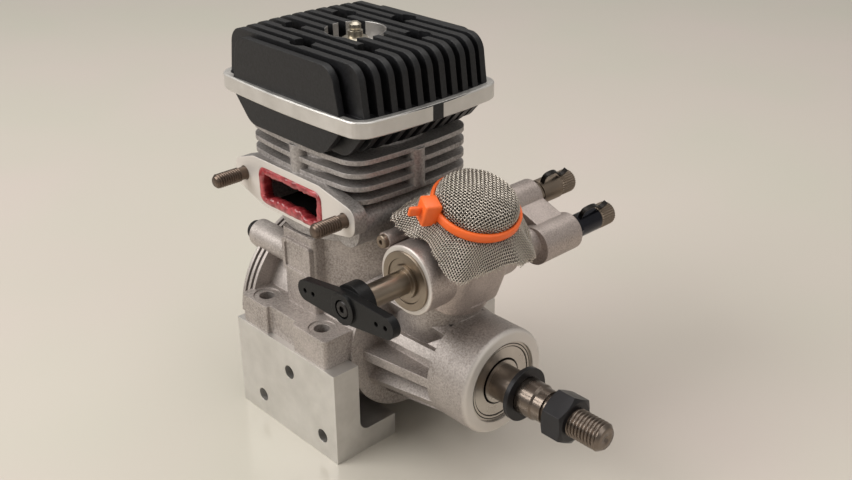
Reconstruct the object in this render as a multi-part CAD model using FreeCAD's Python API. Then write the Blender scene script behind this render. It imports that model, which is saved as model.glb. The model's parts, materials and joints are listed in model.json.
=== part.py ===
import FreeCAD, Part
import math
import os

from FreeCAD import Placement, Rotation, Vector

# Model helicopter engine on its two mount blocks. Millimetres.
# X runs along the crankshaft towards the output end, Z up the cylinder, and the
# exhaust leaves towards -Y. The origin is where the cylinder axis meets the crank
# axis, in the plane where the mounting lugs sit on the blocks.

# Clearances
running_gap = 0.05          # radial, between parts that turn or slide in each other
ball_gap = 0.05             # between a ball and its groove
free_gap = 0.35             # between bodies that pass each other
gasket = 0.4

# Crank train
bore = 32.0
stroke = 28.0
rod_length = 48.0           # pin centre to pin centre
crankpin_radius = 4.2
crankpin_length = 9.6
web_rear = 5.6              # X of the crank web's face beside the rod
web_thickness = 8.0
web_radius = 19.4
shaft_radius = 8.5
shaft_gas_radius = 5.4
rod_width = 9.0
big_end_radius = 7.4
small_end_radius = 5.4
bush_wall = 1.0
rod_shank_thickness = 4.6
wrist_pin_radius = 3.4
wrist_pin_length = 26.0
wrist_clip = 0.7
crown_height = 8.9          # wrist pin to the top of the piston
crown_thickness = 2.9
squish_gap = 0.5            # between the piston and the head at the top of the stroke
skirt_length = 14.0         # wrist pin to the bottom of the skirt
piston_wall = 2.6
ring_height = 1.5
ring_depth = 1.6

# Crankcase
case_radius = 27.2
case_wall = 3.2
case_rear = -28.0
case_front = 25.2
upper_radius = 24.5
pilaster_half_width = 8.3
pilaster_reach = 28.0
pad_span = (-7.0, 8.0)
pad_drop = 3.1              # from the deck to the top of the pad
pad_height = 12.0
pad_proud = 1.3
pad_border = 1.4
nose_core_radius = 13.5
nose_radius = 18.2
nose_root_radius = 22.5
nose_front = 68.4
nose_ring_start = 52.0
nose_rib_count = 12
nose_rib_thickness = 3.5
nose_edge_round = 1.6

# Mounting lugs and blocks
block_gap = 0.25            # between the case and each block
block_wall = 10.35
block_inner = case_radius + block_gap
block_outer = block_inner + block_wall
lug_rear = -22.5
lug_front = 23.9
lug_reach = block_outer - 0.75
lug_height = 10.4
lug_recess_depth = 1.8
lug_recess = (-8.0, 6.6)
lug_hole_radius = 2.7
lug_hole_x = 15.4
lug_hole_y = block_inner + 3.8
spotface_radius = 4.6
spotface_depth = 0.4
block_rear = -25.2
block_front = 28.9
block_foot_end = 11.9
block_foot_height = 8.45
block_height = 35.0
block_fillet = 4.0
block_thread_depth = 20.0
side_hole_radius = 2.5
side_hole_depth = 9.0
side_hole_low_z = -27.05
side_hole_high_z = -9.6
side_hole_x = 4.25
side_hole_spacing = 33.9

# Rear cover
cover_thickness = 3.6
cover_hub_radius = 19.0
cover_hub_height = 1.6
cover_dish_wall = 4.0
cover_dish_depth = 1.2
cover_plug_radius = 18.0
cover_plug_length = 20.0
cover_spigot_length = 5.0
rear_rib_radius = 34.0
rear_rib_thickness = 1.3
rear_rib_pitch = 2.5
rear_rib_count = 3
cover_screw_radius = 2.0
cover_screw_head = 3.5
screw_boss_radius = 5.0
screw_boss_length = 20.0
upper_screw = (21.0, 25.4)  # half spacing in Y, and Z
lower_screw = (18.6, -18.6)

# Cylinder, with its heights above the gasket on the case
cylinder_height = 32.0
deck_height = rod_length + stroke / 2 + crown_height + squish_gap - cylinder_height - 2 * gasket
cylinder_base = deck_height + gasket
cylinder_top = cylinder_base + cylinder_height
liner_wall = 2.2
liner_bottom = 22.0
liner_flange_wall = 2.8
liner_flange_height = 1.6
jacket_radius = 24.5
base_flange_radius = 27.2
base_flange_height = 3.4
fin_count = 4
fin_first = cylinder_base + 17.4
fin_pitch = 4.35
fin_thickness = 1.6
fin_corner = (27.8, 24.6)
fin_middle = (29.8, 26.8)
fin_corner_round = 8.0
bridge_radius = 3.2
bulge_radius = 6.5
bulge_x = 22.3
bulge_z = cylinder_base + 8.0
bulge_far_end = 15.0
transfer_half_width = 8.5
transfer_depth = 4.0
transfer_top = cylinder_base + 11.4

# Exhaust
exhaust_face = 28.8
exhaust_flange_thickness = 5.0
port_left = -18.0
port_right = 15.4
port_bottom = cylinder_base + 5.5
port_top = cylinder_base + 18.5
port_round = 3.0
liner_port_half_width = 12.5
liner_port_top = cylinder_base + 16.5
stud_x = 26.5
stud_z = cylinder_base + 13.3
stud_radius = 2.5
stud_proud = 12.1
stud_shoulder = 2.5         # plain stretch beside the flange
stud_shoulder_radius = 2.2
stud_ear = 5.0
sealant_wall = 1.2
sealant_depth = 6.0

# Head
head_bottom = cylinder_top + gasket
plate_bottom = head_bottom + 9.6
plate_top = plate_bottom + 5.0
plate_corner = (35.5, 28.0)
plate_middle = (38.4, 30.5)
plate_round = 6.0
head_core_radius = 24.5
head_fin_count = 11
head_fin_pitch = 4.9
head_fin_thickness = 2.3
head_fin_top = plate_top + 15.5
head_fin_inset = 1.6
head_fin_lean = 2.8
head_fin_round = 6.0
panel_y = 28.4
panel_half_length = 28.0
panel_top = head_fin_top - 1.0
panel_lean = 4.0
low_fin_lean = 9.0
low_fin_round = 7.0
bolt_circle_radius = 21.0
bolt_count = 6
bolt_radius = 2.0
bolt_hole_gap = 0.2
bolt_head_radius = 3.5
bolt_head_height = 4.0
bolt_engaged = 11.0
bolt_access_radius = 4.1
pocket_radius = 10.0
pocket_floor = plate_top + 9.0
chamber_radius = 11.5
chamber_depth = 8.0

# Glow plug
plug_thread_radius = 3.15
plug_hex = 8.0
plug_hex_height = 3.4
plug_washer_radius = 4.6
plug_washer_height = 0.8
plug_barrel_radius = 2.45
plug_barrel_height = 2.1
plug_stem_radius = 1.3
plug_button_radius = 1.95
plug_top = pocket_floor + 9.1

# Bearings
front_bearing = {"outer": 14.0, "inner": 6.0, "width": 8.0, "ball": 2.38, "count": 9}
rear_bearing = {"outer": 17.5, "inner": shaft_radius, "width": 8.0, "ball": 2.38, "count": 12}
front_bearing_recess = 0.8
race_share = 0.42           # how much of the bearing's half height each race takes
shield_thickness = 0.4

# Output end of the shaft
output_radius = 6.0
step_x = 84.0
neck_radius = 5.5
thread_start = 88.0
thread_radius = 4.75
thread_core_radius = 4.4    # inside the nut
shaft_end = 109.7
shaft_chamfer = 1.2
centre_drill_radius = 1.4
centre_drill_depth = 2.4
nut_start = 90.0
nut_length = 8.0
nut_hex = 14.3
nut_relief = 0.4
washer_x = 76.5
washer_radius = 9.0
washer_thickness = 1.6
washer_hole_gap = 0.15

# Carburettor, in its own frame: local Z runs up the intake, tilted towards +X
carb_x = 37.2
carb_z = 10.3
carb_tilt = 20.65
boss_radius = 13.0
boss_top = 15.6
seal_thickness = 0.8
stub_radius = 9.5
pinch_ear_radius = 2.6
pinch_ear_half = 5.4
pinch_bolt_radius = 1.5
stub_bottom = 5.5
carb_body_half = 13.3
carb_body_round = 6.5
carb_body_top = 40.0
intake_radius = 12.4
intake_top = 53.6
venturi_radius = 8.0
throat_radius = 6.4
barrel_z = 28.5
barrel_radius = 8.45
barrel_back = 12.0
barrel_face = 20.4
housing_radius = 11.5
housing_front = 22.2
housing_back = 17.0
barrel_step_radius = 5.4
barrel_step_end = 23.6
throttle_shaft_radius = 3.85
throttle_shaft_end = 41.0
arm_hub_radius = 6.6
arm_hub_length = 4.6
arm_thickness = 2.7
arm_half_length = 21.9
arm_root_half_width = 5.0
arm_tip_radius = 3.5
arm_angle = 4.0
arm_hole_radius = 0.8
arm_holes = (14.5, 18.4)
arm_screw_head = 2.6
idle_stop_x = -13.4
idle_stop_z = 33.5
idle_stop_radius = 1.5

# Needles and their ear
main_x = 8.1
idle_x = -9.5
idle_lift = 2.5             # the idle needle lies a little higher than the main one
ear_start = 30.5
ear_end = 43.0
main_boss_end = 45.0
main_boss_radius = 6.5
idle_boss_radius = 6.0
neck_boss_radius = 5.2
needle_radius = 0.9
main_seat = {"hex": 8.6, "hex_length": 3.4, "collar": 4.1, "collar_length": 10.4}
idle_seat = {"hex": 8.0, "hex_length": 3.0, "collar": 4.4, "collar_length": 9.4}
knob_radius = 4.7
knob_length = 8.0
knob_flutes = 12
knob_flute_radius = 0.6
spring_width = 3.2
spring_thickness = 0.5
spring_height = 4.4         # how far the leaf stands above the collar
spring_bend = 2.2
nipple_x = -1.0
nipple_z = 24.6

# Filter and its tie
mesh_thickness = 0.9
mesh_gap = 0.3
mesh_top = 56.8
skirt_radius = 19.4
skirt_bottom = 41.6
skirt_drop = 1.6            # straight stretch under the tie
tie_z = 48.0
tie_width = 3.0
tie_thickness = 1.3
buckle_size = (6.0, 5.6, 5.4)
buckle_angle = 214.0

# Derived places
crank_radius = stroke / 2
pin_rest_z = rod_length - crank_radius
crown_rest_z = pin_rest_z + crown_height
cavity_radius = case_radius - case_wall
web_front = web_rear + web_thickness
rear_bearing_start = web_front + 1.0
rear_bearing_end = rear_bearing_start + rear_bearing["width"]
front_bearing_end = nose_front - front_bearing_recess
front_bearing_start = front_bearing_end - front_bearing["width"]
liner_outer = bore / 2 + liner_wall
liner_flange = bore / 2 + liner_flange_wall
carb_body_bottom = boss_top + seal_thickness
nut_end = nut_start + nut_length
stud_inner = -exhaust_face + exhaust_flange_thickness - 0.4
idle_z = barrel_z + idle_lift
pinch_x = -boss_radius - 1.6
pinch_z = boss_top - pinch_ear_radius

X_AXIS = Vector(1, 0, 0)
Y_AXIS = Vector(0, 1, 0)
Z_AXIS = Vector(0, 0, 1)
ORIGIN = Vector(0, 0, 0)


def point_in(plane, u, v, level):
    """A point of a drawing plane: xy, xz or yz, at a level along the third axis."""
    if plane == "xy":
        return Vector(u, v, level)
    if plane == "xz":
        return Vector(u, level, v)
    return Vector(level, u, v)


def rounded_face(corners, plane, level):
    """A face from corners (u, v, radius), with a tangent arc at each radius over 0."""
    count = len(corners)
    joints = []
    for i, (u, v, radius) in enumerate(corners):
        here = Vector(u, v, 0)
        before = Vector(*corners[i - 1][:2], 0) - here
        after = Vector(*corners[(i + 1) % count][:2], 0) - here
        before.normalize()
        after.normalize()
        if radius <= 0:
            joints.append((here, None, here))
            continue
        half = before.getAngle(after) / 2
        reach = radius / math.tan(half)
        middle = (before + after).normalize() * (radius / math.sin(half) - radius)
        joints.append((here + before * reach, here + middle, here + after * reach))
    edges = []
    for i, (start, middle, end) in enumerate(joints):
        a, b = (point_in(plane, p.x, p.y, level) for p in (start, end))
        if middle is not None:
            edges.append(Part.Arc(a, point_in(plane, middle.x, middle.y, level), b).toShape())
        following = joints[(i + 1) % count][0]
        c = point_in(plane, following.x, following.y, level)
        if b.distanceToPoint(c) > 1e-6:
            edges.append(Part.LineSegment(b, c).toShape())
    return Part.Face(Part.Wire(edges))


def plate(corners, plane, start, end):
    """A slab between two levels whose outline is the rounded corners."""
    directions = {"xy": Z_AXIS, "xz": Y_AXIS, "yz": X_AXIS}
    return rounded_face(corners, plane, start).extrude(directions[plane] * (end - start))


def rectangle(u_low, u_high, v_low, v_high, radius=0.0):
    return [(u_low, v_low, radius), (u_high, v_low, radius),
            (u_high, v_high, radius), (u_low, v_high, radius)]


def box(x_range, y_range, z_range):
    low = Vector(x_range[0], y_range[0], z_range[0])
    high = Vector(x_range[1], y_range[1], z_range[1])
    size = high - low
    return Part.makeBox(size.x, size.y, size.z, low)


def rod_x(radius, start, end, y=0.0, z=0.0):
    return Part.makeCylinder(radius, end - start, Vector(start, y, z), X_AXIS)


def rod_y(radius, start, end, x=0.0, z=0.0):
    return Part.makeCylinder(radius, end - start, Vector(x, start, z), Y_AXIS)


def rod_z(radius, start, end, x=0.0, y=0.0):
    return Part.makeCylinder(radius, end - start, Vector(x, y, start), Z_AXIS)


def turned(profile, axis="x"):
    """A turned part from (along, radius) corners, closed back along its axis."""
    if axis == "x":
        points = [Vector(along, 0, radius) for along, radius in profile]
        direction = X_AXIS
    elif axis == "y":
        points = [Vector(radius, along, 0) for along, radius in profile]
        direction = Y_AXIS
    else:
        points = [Vector(radius, 0, along) for along, radius in profile]
        direction = Z_AXIS
    outline = Part.makePolygon(points + [points[0]])
    return Part.Face(outline).revolve(ORIGIN, direction, 360)


def hexagon(across_flats, start, end, axis="x", x=0.0, y=0.0, z=0.0):
    """A hexagonal prism along an axis, with its corners turned off at both ends."""
    radius = across_flats / math.sqrt(3)
    corners = []
    for i in range(6):
        angle = math.radians(60 * i + 30)
        corners.append((radius * math.cos(angle), radius * math.sin(angle), 0))
    plane = {"x": "yz", "y": "xz", "z": "xy"}[axis]
    prism = plate(corners, plane, start, end)
    cut = 0.12 * across_flats
    turning = turned([(start, 0), (start, radius - cut), (start + cut / 2, radius),
                      (end - cut / 2, radius), (end, radius - cut), (end, 0)], axis)
    prism = prism.common(turning)
    prism.translate(Vector(x, y, z))
    return prism


def bowed_slab(corner, middle, radius, start, end):
    """A slab with four sides that bow outward and rounded corners."""
    cx, cy = corner
    mx, my = middle
    sides = [((-cx, -cy), (0, -my), (cx, -cy)), ((cx, -cy), (mx, 0), (cx, cy)),
             ((cx, cy), (0, my), (-cx, cy)), ((-cx, cy), (-mx, 0), (-cx, -cy))]
    edges = [Part.Arc(*(Vector(u, v, start) for u, v in side)).toShape() for side in sides]
    slab = Part.Face(Part.Wire(edges)).extrude(Z_AXIS * (end - start))
    upright = [e for e in slab.Edges
               if abs(e.BoundBox.ZLength - (end - start)) < 1e-4 and e.BoundBox.XLength < 1e-4]
    return slab.makeFillet(radius, upright)


def mirrored(shape):
    """The same shape on the other side of the XZ plane."""
    return shape.mirror(ORIGIN, Y_AXIS)


def both_sides(shape):
    return [shape, mirrored(shape)]


def join(*shapes):
    body = shapes[0].fuse(list(shapes[1:]))
    return body.removeSplitter()


def bolt_places():
    """Where the head bolts stand, one of them on the exhaust side."""
    for i in range(bolt_count):
        angle = math.radians(360 / bolt_count * i - 90)
        yield bolt_circle_radius * math.cos(angle), bolt_circle_radius * math.sin(angle)


def cover_screw_places():
    for half_y, z in (upper_screw, lower_screw):
        for side in (-1, 1):
            yield side * half_y, z


def in_carb(shape):
    """From the carburettor's own frame to the engine's."""
    place = Placement(Vector(carb_x, 0, carb_z), Rotation(Y_AXIS, carb_tilt))
    return shape.transformed(place.toMatrix())


def export(name, *solids):
    shape = solids[0] if len(solids) == 1 else Part.makeCompound(list(solids))
    shape.exportStep("parts/" + name + ".step")


# Crankcase
def lug():
    """One mounting lug on the exhaust side, with its cast recess and two spotfaced holes."""
    outer = -lug_reach
    inner = -(case_radius - 6)
    recess = outer + lug_recess_depth
    shape = plate([(lug_rear, inner, 0), (lug_rear, outer, 1.5), (lug_recess[0], outer, 0.8),
                   (lug_recess[0], recess, 0.8), (lug_recess[1], recess, 0.8),
                   (lug_recess[1], outer, 0.8), (lug_front, outer, 1.5), (lug_front, inner, 0)],
                  "xy", 0, lug_height)
    for x in (-lug_hole_x, lug_hole_x):
        shape = shape.cut(rod_z(lug_hole_radius, -1, lug_height + 1, x, -lug_hole_y))
        spotface = rod_z(spotface_radius, lug_height - spotface_depth, lug_height + 1, x, -lug_hole_y)
        shape = shape.cut(spotface)
    return shape


def nose():
    """The shaft housing: a slim core, radial ribs under a cone, and the bearing ring."""
    cone = turned([(case_front - 2, 0), (case_front - 2, nose_root_radius),
                   (nose_ring_start + 1, nose_radius), (nose_ring_start + 1, 0)])
    slabs = []
    for i in range(nose_rib_count // 2):
        slab = box((case_front - 2, nose_ring_start + 1),
                   (-nose_rib_thickness / 2, nose_rib_thickness / 2),
                   (-nose_root_radius, nose_root_radius))
        slab.rotate(ORIGIN, X_AXIS, 360 / nose_rib_count * i)
        slabs.append(slab)
    ribs = cone.common(slabs[0].fuse(slabs[1:]))
    core = rod_x(nose_core_radius, case_front - 2, nose_ring_start + 1)
    ring = rod_x(nose_radius, nose_ring_start, nose_front)
    rim = [e for e in ring.Edges if abs(e.BoundBox.XMin - nose_front) < 1e-4]
    return [ribs, core, ring.makeFillet(nose_edge_round, rim)]


def crankcase():
    barrel = rod_x(case_radius, case_rear, case_front)
    upper = rod_z(upper_radius, 0, deck_height)
    pilaster = box((-pilaster_half_width, pilaster_half_width), (-pilaster_reach, -10), (0, deck_height))
    upright = [e for e in pilaster.Edges
               if e.BoundBox.ZLength > 1 and abs(e.BoundBox.YMin + pilaster_reach) < 1e-4]
    pilaster = pilaster.makeFillet(1.5, upright)
    bosses = [rod_x(screw_boss_radius, case_rear, case_rear + screw_boss_length, y, z)
              for y, z in cover_screw_places()]
    boss = in_carb(rod_z(boss_radius, -carb_z + 4, boss_top))
    ear = in_carb(rod_y(pinch_ear_radius, -pinch_ear_half, pinch_ear_half, pinch_x, pinch_z))
    pad = name_pad()
    body = join(barrel, upper, *both_sides(pilaster), *both_sides(lug()), *nose(), *bosses,
                *rear_ribs(), boss, ear, pad)
    cuts = [rod_x(cavity_radius, case_rear - 1, rear_bearing_start),
            rod_x(rear_bearing["outer"], rear_bearing_start - 0.5, rear_bearing_end),
            rod_x(shaft_radius + running_gap, 0, nose_front),
            rod_x(front_bearing["outer"], front_bearing_start, nose_front + 1),
            rod_z(liner_outer, 0, deck_height + 1),
            in_carb(rod_z(stub_radius + running_gap, stub_bottom - 0.5, boss_top + 1)),
            in_carb(rod_z(throat_radius, 0, boss_top)),
            in_carb(rod_y(pinch_bolt_radius, -pinch_ear_half - 1, pinch_ear_half, pinch_x, pinch_z))]
    cuts += transfer_channels(cavity_radius * 0.6, deck_height + 1)
    for y, z in cover_screw_places():
        cuts.append(rod_x(cover_screw_radius, case_rear - 1, case_rear + screw_boss_length - 2, y, z))
    return body.cut(cuts).removeSplitter()


def rear_ribs():
    """The cast ribs round the rear of the case, from the lugs up."""
    ribs = []
    for i in range(rear_rib_count):
        start = case_rear + 0.4 + rear_rib_pitch * i
        disc = rod_x(rear_rib_radius, start, start + rear_rib_thickness)
        ribs.append(disc.common(box((start, start + rear_rib_thickness),
                                    (-rear_rib_radius, rear_rib_radius), (0.5, rear_rib_radius))))
    return ribs


def name_pad():
    """The cast pad on the exhaust side, left bare inside its raised border."""
    left, right = pad_span
    top = deck_height - pad_drop
    bottom = top - pad_height
    border = plate(rectangle(left, right, bottom, top, 1.5), "xz",
                   -pilaster_reach - pad_proud, -pilaster_reach + 0.5)
    rim = pad_border
    field = plate(rectangle(left + rim, right - rim, bottom + rim, top - rim, 1.0), "xz",
                  -pilaster_reach - pad_proud - 1, -pilaster_reach - pad_proud / 2)
    return border.cut(field)


def transfer_channels(bottom, top):
    """The gas passages beside the liner, on both X sides and opposite the exhaust."""
    near = liner_outer - 0.6
    far = liner_outer + transfer_depth
    half = transfer_half_width
    return [box((near, far), (-half, half), (bottom, top)),
            box((-far, -near), (-half, half), (bottom, top)),
            box((-half, half), (near, far), (bottom, top))]


def rear_cover():
    rear = case_rear - cover_thickness
    spigot_end = case_rear + cover_spigot_length
    plug_end = case_rear + cover_plug_length
    disc = turned([(rear - cover_hub_height, 0), (rear - cover_hub_height, cover_hub_radius - 1),
                   (rear, cover_hub_radius), (rear, case_radius), (case_rear, case_radius),
                   (case_rear, cavity_radius), (spigot_end, cavity_radius),
                   (spigot_end, cover_plug_radius), (plug_end, cover_plug_radius), (plug_end, 0)])
    ears = []
    for y, z in cover_screw_places():
        arm = box((rear, case_rear), (0, math.hypot(y, z)), (-screw_boss_radius, screw_boss_radius))
        arm.rotate(ORIGIN, X_AXIS, math.degrees(math.atan2(z, y)))
        ears += [arm, rod_x(screw_boss_radius, rear, case_rear, y, z)]
    body = join(disc, *ears)
    hub_face = rear - cover_hub_height
    cuts = [rod_x(cover_hub_radius - cover_dish_wall, hub_face - 1, hub_face + cover_dish_depth)]
    for y, z in cover_screw_places():
        cuts.append(rod_x(cover_screw_radius + 0.2, rear - 1, case_rear + 1, y, z))
    return body.cut(cuts).removeSplitter()


def socket_screw(head_radius, head_height, radius, length, socket):
    """A socket-head screw along +Z, its head's underside at 0 and the thread below."""
    head = rod_z(head_radius, 0, head_height)
    top = [e for e in head.Edges if abs(e.BoundBox.ZMin - head_height) < 1e-4]
    head = head.makeChamfer(0.3, top)
    shank = rod_z(radius, -length, 0)
    return join(head, shank).cut(hexagon(socket, head_height * 0.45, head_height + 1, "z"))


def cover_screws():
    length = cover_thickness + screw_boss_length - 3
    screws = []
    for y, z in cover_screw_places():
        screw = socket_screw(cover_screw_head, 3.6, cover_screw_radius, length, 3.0)
        screw.rotate(ORIGIN, Y_AXIS, -90)
        screw.translate(Vector(case_rear - cover_thickness, y, z))
        screws.append(screw)
    return screws


# Bearings, shaft and what is on it
def race_radii(bearing):
    middle = (bearing["outer"] + bearing["inner"]) / 2
    land = (bearing["outer"] - bearing["inner"]) / 2 * race_share
    return middle, bearing["inner"] + land, bearing["outer"] - land


def race(inner, outer, bearing, start):
    middle = race_radii(bearing)[0]
    centre = Vector(start + bearing["width"] / 2, 0, 0)
    groove = Part.makeTorus(middle, bearing["ball"] + ball_gap, centre, X_AXIS)
    ring = rod_x(outer, start, start + bearing["width"]).cut(rod_x(inner, start, start + bearing["width"]))
    return ring.cut(groove)


def outer_race(bearing, start):
    return race(race_radii(bearing)[2], bearing["outer"], bearing, start)


def inner_race(bearing, start):
    return race(bearing["inner"], race_radii(bearing)[1], bearing, start)


def balls(bearing, start):
    middle = race_radii(bearing)[0]
    x = start + bearing["width"] / 2
    solids = []
    for i in range(bearing["count"]):
        angle = math.radians(360 / bearing["count"] * i)
        centre = Vector(x, middle * math.cos(angle), middle * math.sin(angle))
        solids.append(Part.makeSphere(bearing["ball"], centre))
    return solids


def bearing_shield():
    land = race_radii(front_bearing)
    end = front_bearing_end - 0.3
    return rod_x(land[2], end - shield_thickness, end).cut(
        rod_x(land[1] + free_gap, end - shield_thickness, end))


def crankshaft():
    """The one-sided crank: web with its counterweight, hollow shaft and gas window.

    Its thread is plain at its outer size, and at its core size inside the nut.
    """
    web = rod_x(web_radius, web_rear, web_front)
    beside_pin = big_end_radius - 0.4
    for side in (-1, 1):
        web = web.cut(box((web_rear - 1, web_front + 1),
                          sorted((side * beside_pin, side * (web_radius + 1))),
                          (-web_radius - 1, -crankpin_radius)))
    profile = [(web_rear, 0), (web_rear, shaft_radius + 1), (web_front, shaft_radius + 2.4),
               (rear_bearing_start, shaft_radius + 1.4), (rear_bearing_start, shaft_radius),
               (front_bearing_start, shaft_radius), (front_bearing_start, output_radius),
               (step_x, output_radius), (step_x + 0.8, neck_radius), (thread_start, neck_radius),
               (thread_start, thread_radius), (nut_start - nut_relief, thread_radius),
               (nut_start - nut_relief, thread_core_radius), (nut_end + nut_relief, thread_core_radius),
               (nut_end + nut_relief, thread_radius), (shaft_end - shaft_chamfer, thread_radius),
               (shaft_end, thread_radius - shaft_chamfer), (shaft_end, 0)]
    body = join(web, turned(profile))
    window_middle = carb_x + 1
    cuts = [rod_x(shaft_gas_radius, web_rear - 1, window_middle + throat_radius),
            box((window_middle - throat_radius, window_middle + throat_radius),
                (-shaft_gas_radius, shaft_gas_radius), (0, 20)),
            turned([(shaft_end - centre_drill_depth, 0), (shaft_end, centre_drill_radius),
                    (shaft_end + 1, centre_drill_radius), (shaft_end + 1, 0)])]
    return body.cut(cuts)


def crankpin():
    """The pin stops just short of the web: here the closed linkage is opened."""
    end = web_rear - free_gap
    return rod_x(crankpin_radius, end - crankpin_length, end, 0, -crank_radius)


def shaft_nut():
    nut = hexagon(nut_hex, nut_start, nut_end)
    return nut.cut(rod_x(thread_core_radius, nut_start - 1, nut_end + 1))


def shaft_washer():
    disc = rod_x(washer_radius, washer_x, washer_x + washer_thickness)
    return disc.cut(rod_x(output_radius + washer_hole_gap, washer_x - 1, washer_x + washer_thickness + 1))


# Piston and rod, at bottom dead centre
def piston():
    radius = bore / 2 - running_gap
    bottom = pin_rest_z - skirt_length
    top = crown_rest_z
    body = rod_z(radius, bottom, top)
    inside = rod_z(radius - piston_wall, bottom - 1, top - crown_thickness)
    gap = rod_width / 2 + 0.5
    bosses = []
    for low, high in ((-radius, -gap), (gap, radius)):
        bosses.append(rod_x(wrist_pin_radius + 2.2, low, high, 0, pin_rest_z))
    bosses = bosses[0].fuse(bosses[1]).common(rod_z(radius, bottom, top))
    body = join(body.cut(inside), bosses)
    groove_top = top - 2.0
    groove = rod_z(radius + 1, groove_top - ring_height, groove_top)
    groove = groove.cut(rod_z(radius - ring_depth, groove_top - ring_height, groove_top))
    return body.cut([rod_x(wrist_pin_radius, -bore, bore, 0, pin_rest_z), groove])


def piston_ring():
    top = crown_rest_z - 2.0
    outer = bore / 2 - running_gap / 2
    ring = rod_z(outer, top - ring_height, top)
    ring = ring.cut(rod_z(bore / 2 - running_gap - ring_depth, top - ring_height, top))
    return ring.cut(box((-0.3, 0.3), (0, bore), (top - ring_height, top)))


def wrist_pin():
    half = wrist_pin_length / 2
    return rod_x(wrist_pin_radius, -half, half, 0, pin_rest_z).cut(
        rod_x(wrist_pin_radius * 0.5, -half, half, 0, pin_rest_z))


def pin_clips():
    """Circlips in the piston's pin bosses, beside the pin's ends."""
    clips = []
    half = wrist_pin_length / 2
    for start in (-half - wrist_clip, half):
        end = start + wrist_clip
        ring = rod_x(wrist_pin_radius, start, end, 0, pin_rest_z)
        ring = ring.cut(rod_x(wrist_pin_radius - wrist_clip, start, end, 0, pin_rest_z))
        clips.append(ring.cut(box((start, end), (-0.9, 0.9), (pin_rest_z, pin_rest_z + bore))))
    return clips


def connecting_rod():
    """Two eyes and a shank that widens towards the big end, milled to an I section."""
    half = rod_width / 2
    big = rod_x(big_end_radius, -half, half, 0, -crank_radius)
    small = rod_x(small_end_radius, -half, half, 0, pin_rest_z)
    shank = plate([(-4.6, -crank_radius + 4, 0), (4.6, -crank_radius + 4, 0),
                   (3.6, pin_rest_z - 3, 0), (-3.6, pin_rest_z - 3, 0)],
                  "yz", -rod_shank_thickness / 2, rod_shank_thickness / 2)
    body = join(big, small, shank)
    for side in (-1, 1):
        floor = 0.9
        outline = [(-2.7, -crank_radius + big_end_radius + 1.6, 1.2),
                   (2.7, -crank_radius + big_end_radius + 1.6, 1.2),
                   (1.8, pin_rest_z - small_end_radius - 1.6, 1.0),
                   (-1.8, pin_rest_z - small_end_radius - 1.6, 1.0)]
        low, high = sorted((side * floor, side * 5))
        body = body.cut(plate(outline, "yz", low, high))
    return body.cut([rod_x(crankpin_radius + bush_wall, -half, half, 0, -crank_radius),
                     rod_x(wrist_pin_radius + bush_wall, -half, half, 0, pin_rest_z)])


def rod_bush(pin_radius, gap, z):
    half = rod_width / 2
    return rod_x(pin_radius + bush_wall, -half, half, 0, z).cut(
        rod_x(pin_radius + gap, -half, half, 0, z))


# Cylinder
def liner():
    tube = rod_z(liner_outer, liner_bottom, cylinder_top)
    flange = rod_z(liner_flange, cylinder_top - liner_flange_height, cylinder_top)
    body = join(tube, flange).cut(rod_z(bore / 2, liner_bottom, cylinder_top))
    wide = liner_port_half_width
    ports = [plate(rectangle(-wide, wide, port_bottom, liner_port_top, 2.0), "xz", -bore, -5)]
    half = transfer_half_width - 0.5
    ports.append(plate(rectangle(-half, half, port_bottom, transfer_top - 0.4, 1.0), "xz", 5, bore))
    for start, end in ((-bore, -10), (10, bore)):
        ports.append(plate(rectangle(-half, half, port_bottom, transfer_top - 0.4, 1.0), "yz", start, end))
    return body.cut(ports)


def exhaust_flange():
    low = stud_z - stud_ear + 0.6
    high = stud_z + stud_ear - 0.8
    reach = stud_x + stud_ear
    outline = [(port_left + 2, port_bottom - 1.2, 4), (port_right - 6, port_bottom - 1.2, 4),
               (reach, low, 4), (reach, high, 4), (port_right - 1.5, port_top + 2.6, 5),
               (port_left - 3, port_top + 2.6, 5), (-reach, high, 4), (-reach, low, 4)]
    return plate(outline, "xz", -exhaust_face, -exhaust_face + exhaust_flange_thickness)


def cylinder_fins():
    fins = []
    for i in range(fin_count):
        z = fin_first + fin_pitch * i
        fins.append(bowed_slab(fin_corner, fin_middle, fin_corner_round,
                               z - fin_thickness / 2, z + fin_thickness / 2))
    return fins


def fin_bridges():
    """Lumps of casting that tie the fins together at the middle of each side."""
    top = fin_first + fin_pitch * (fin_count - 1)
    along_x = fin_middle[0] - bridge_radius + 1.0
    along_y = fin_middle[1] - bridge_radius + 1.0
    places = ((0, -along_y), (along_x, 0), (0, along_y), (-along_x, 0))
    return [rod_z(bridge_radius, fin_first, top, x, y) for x, y in places]


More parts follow.
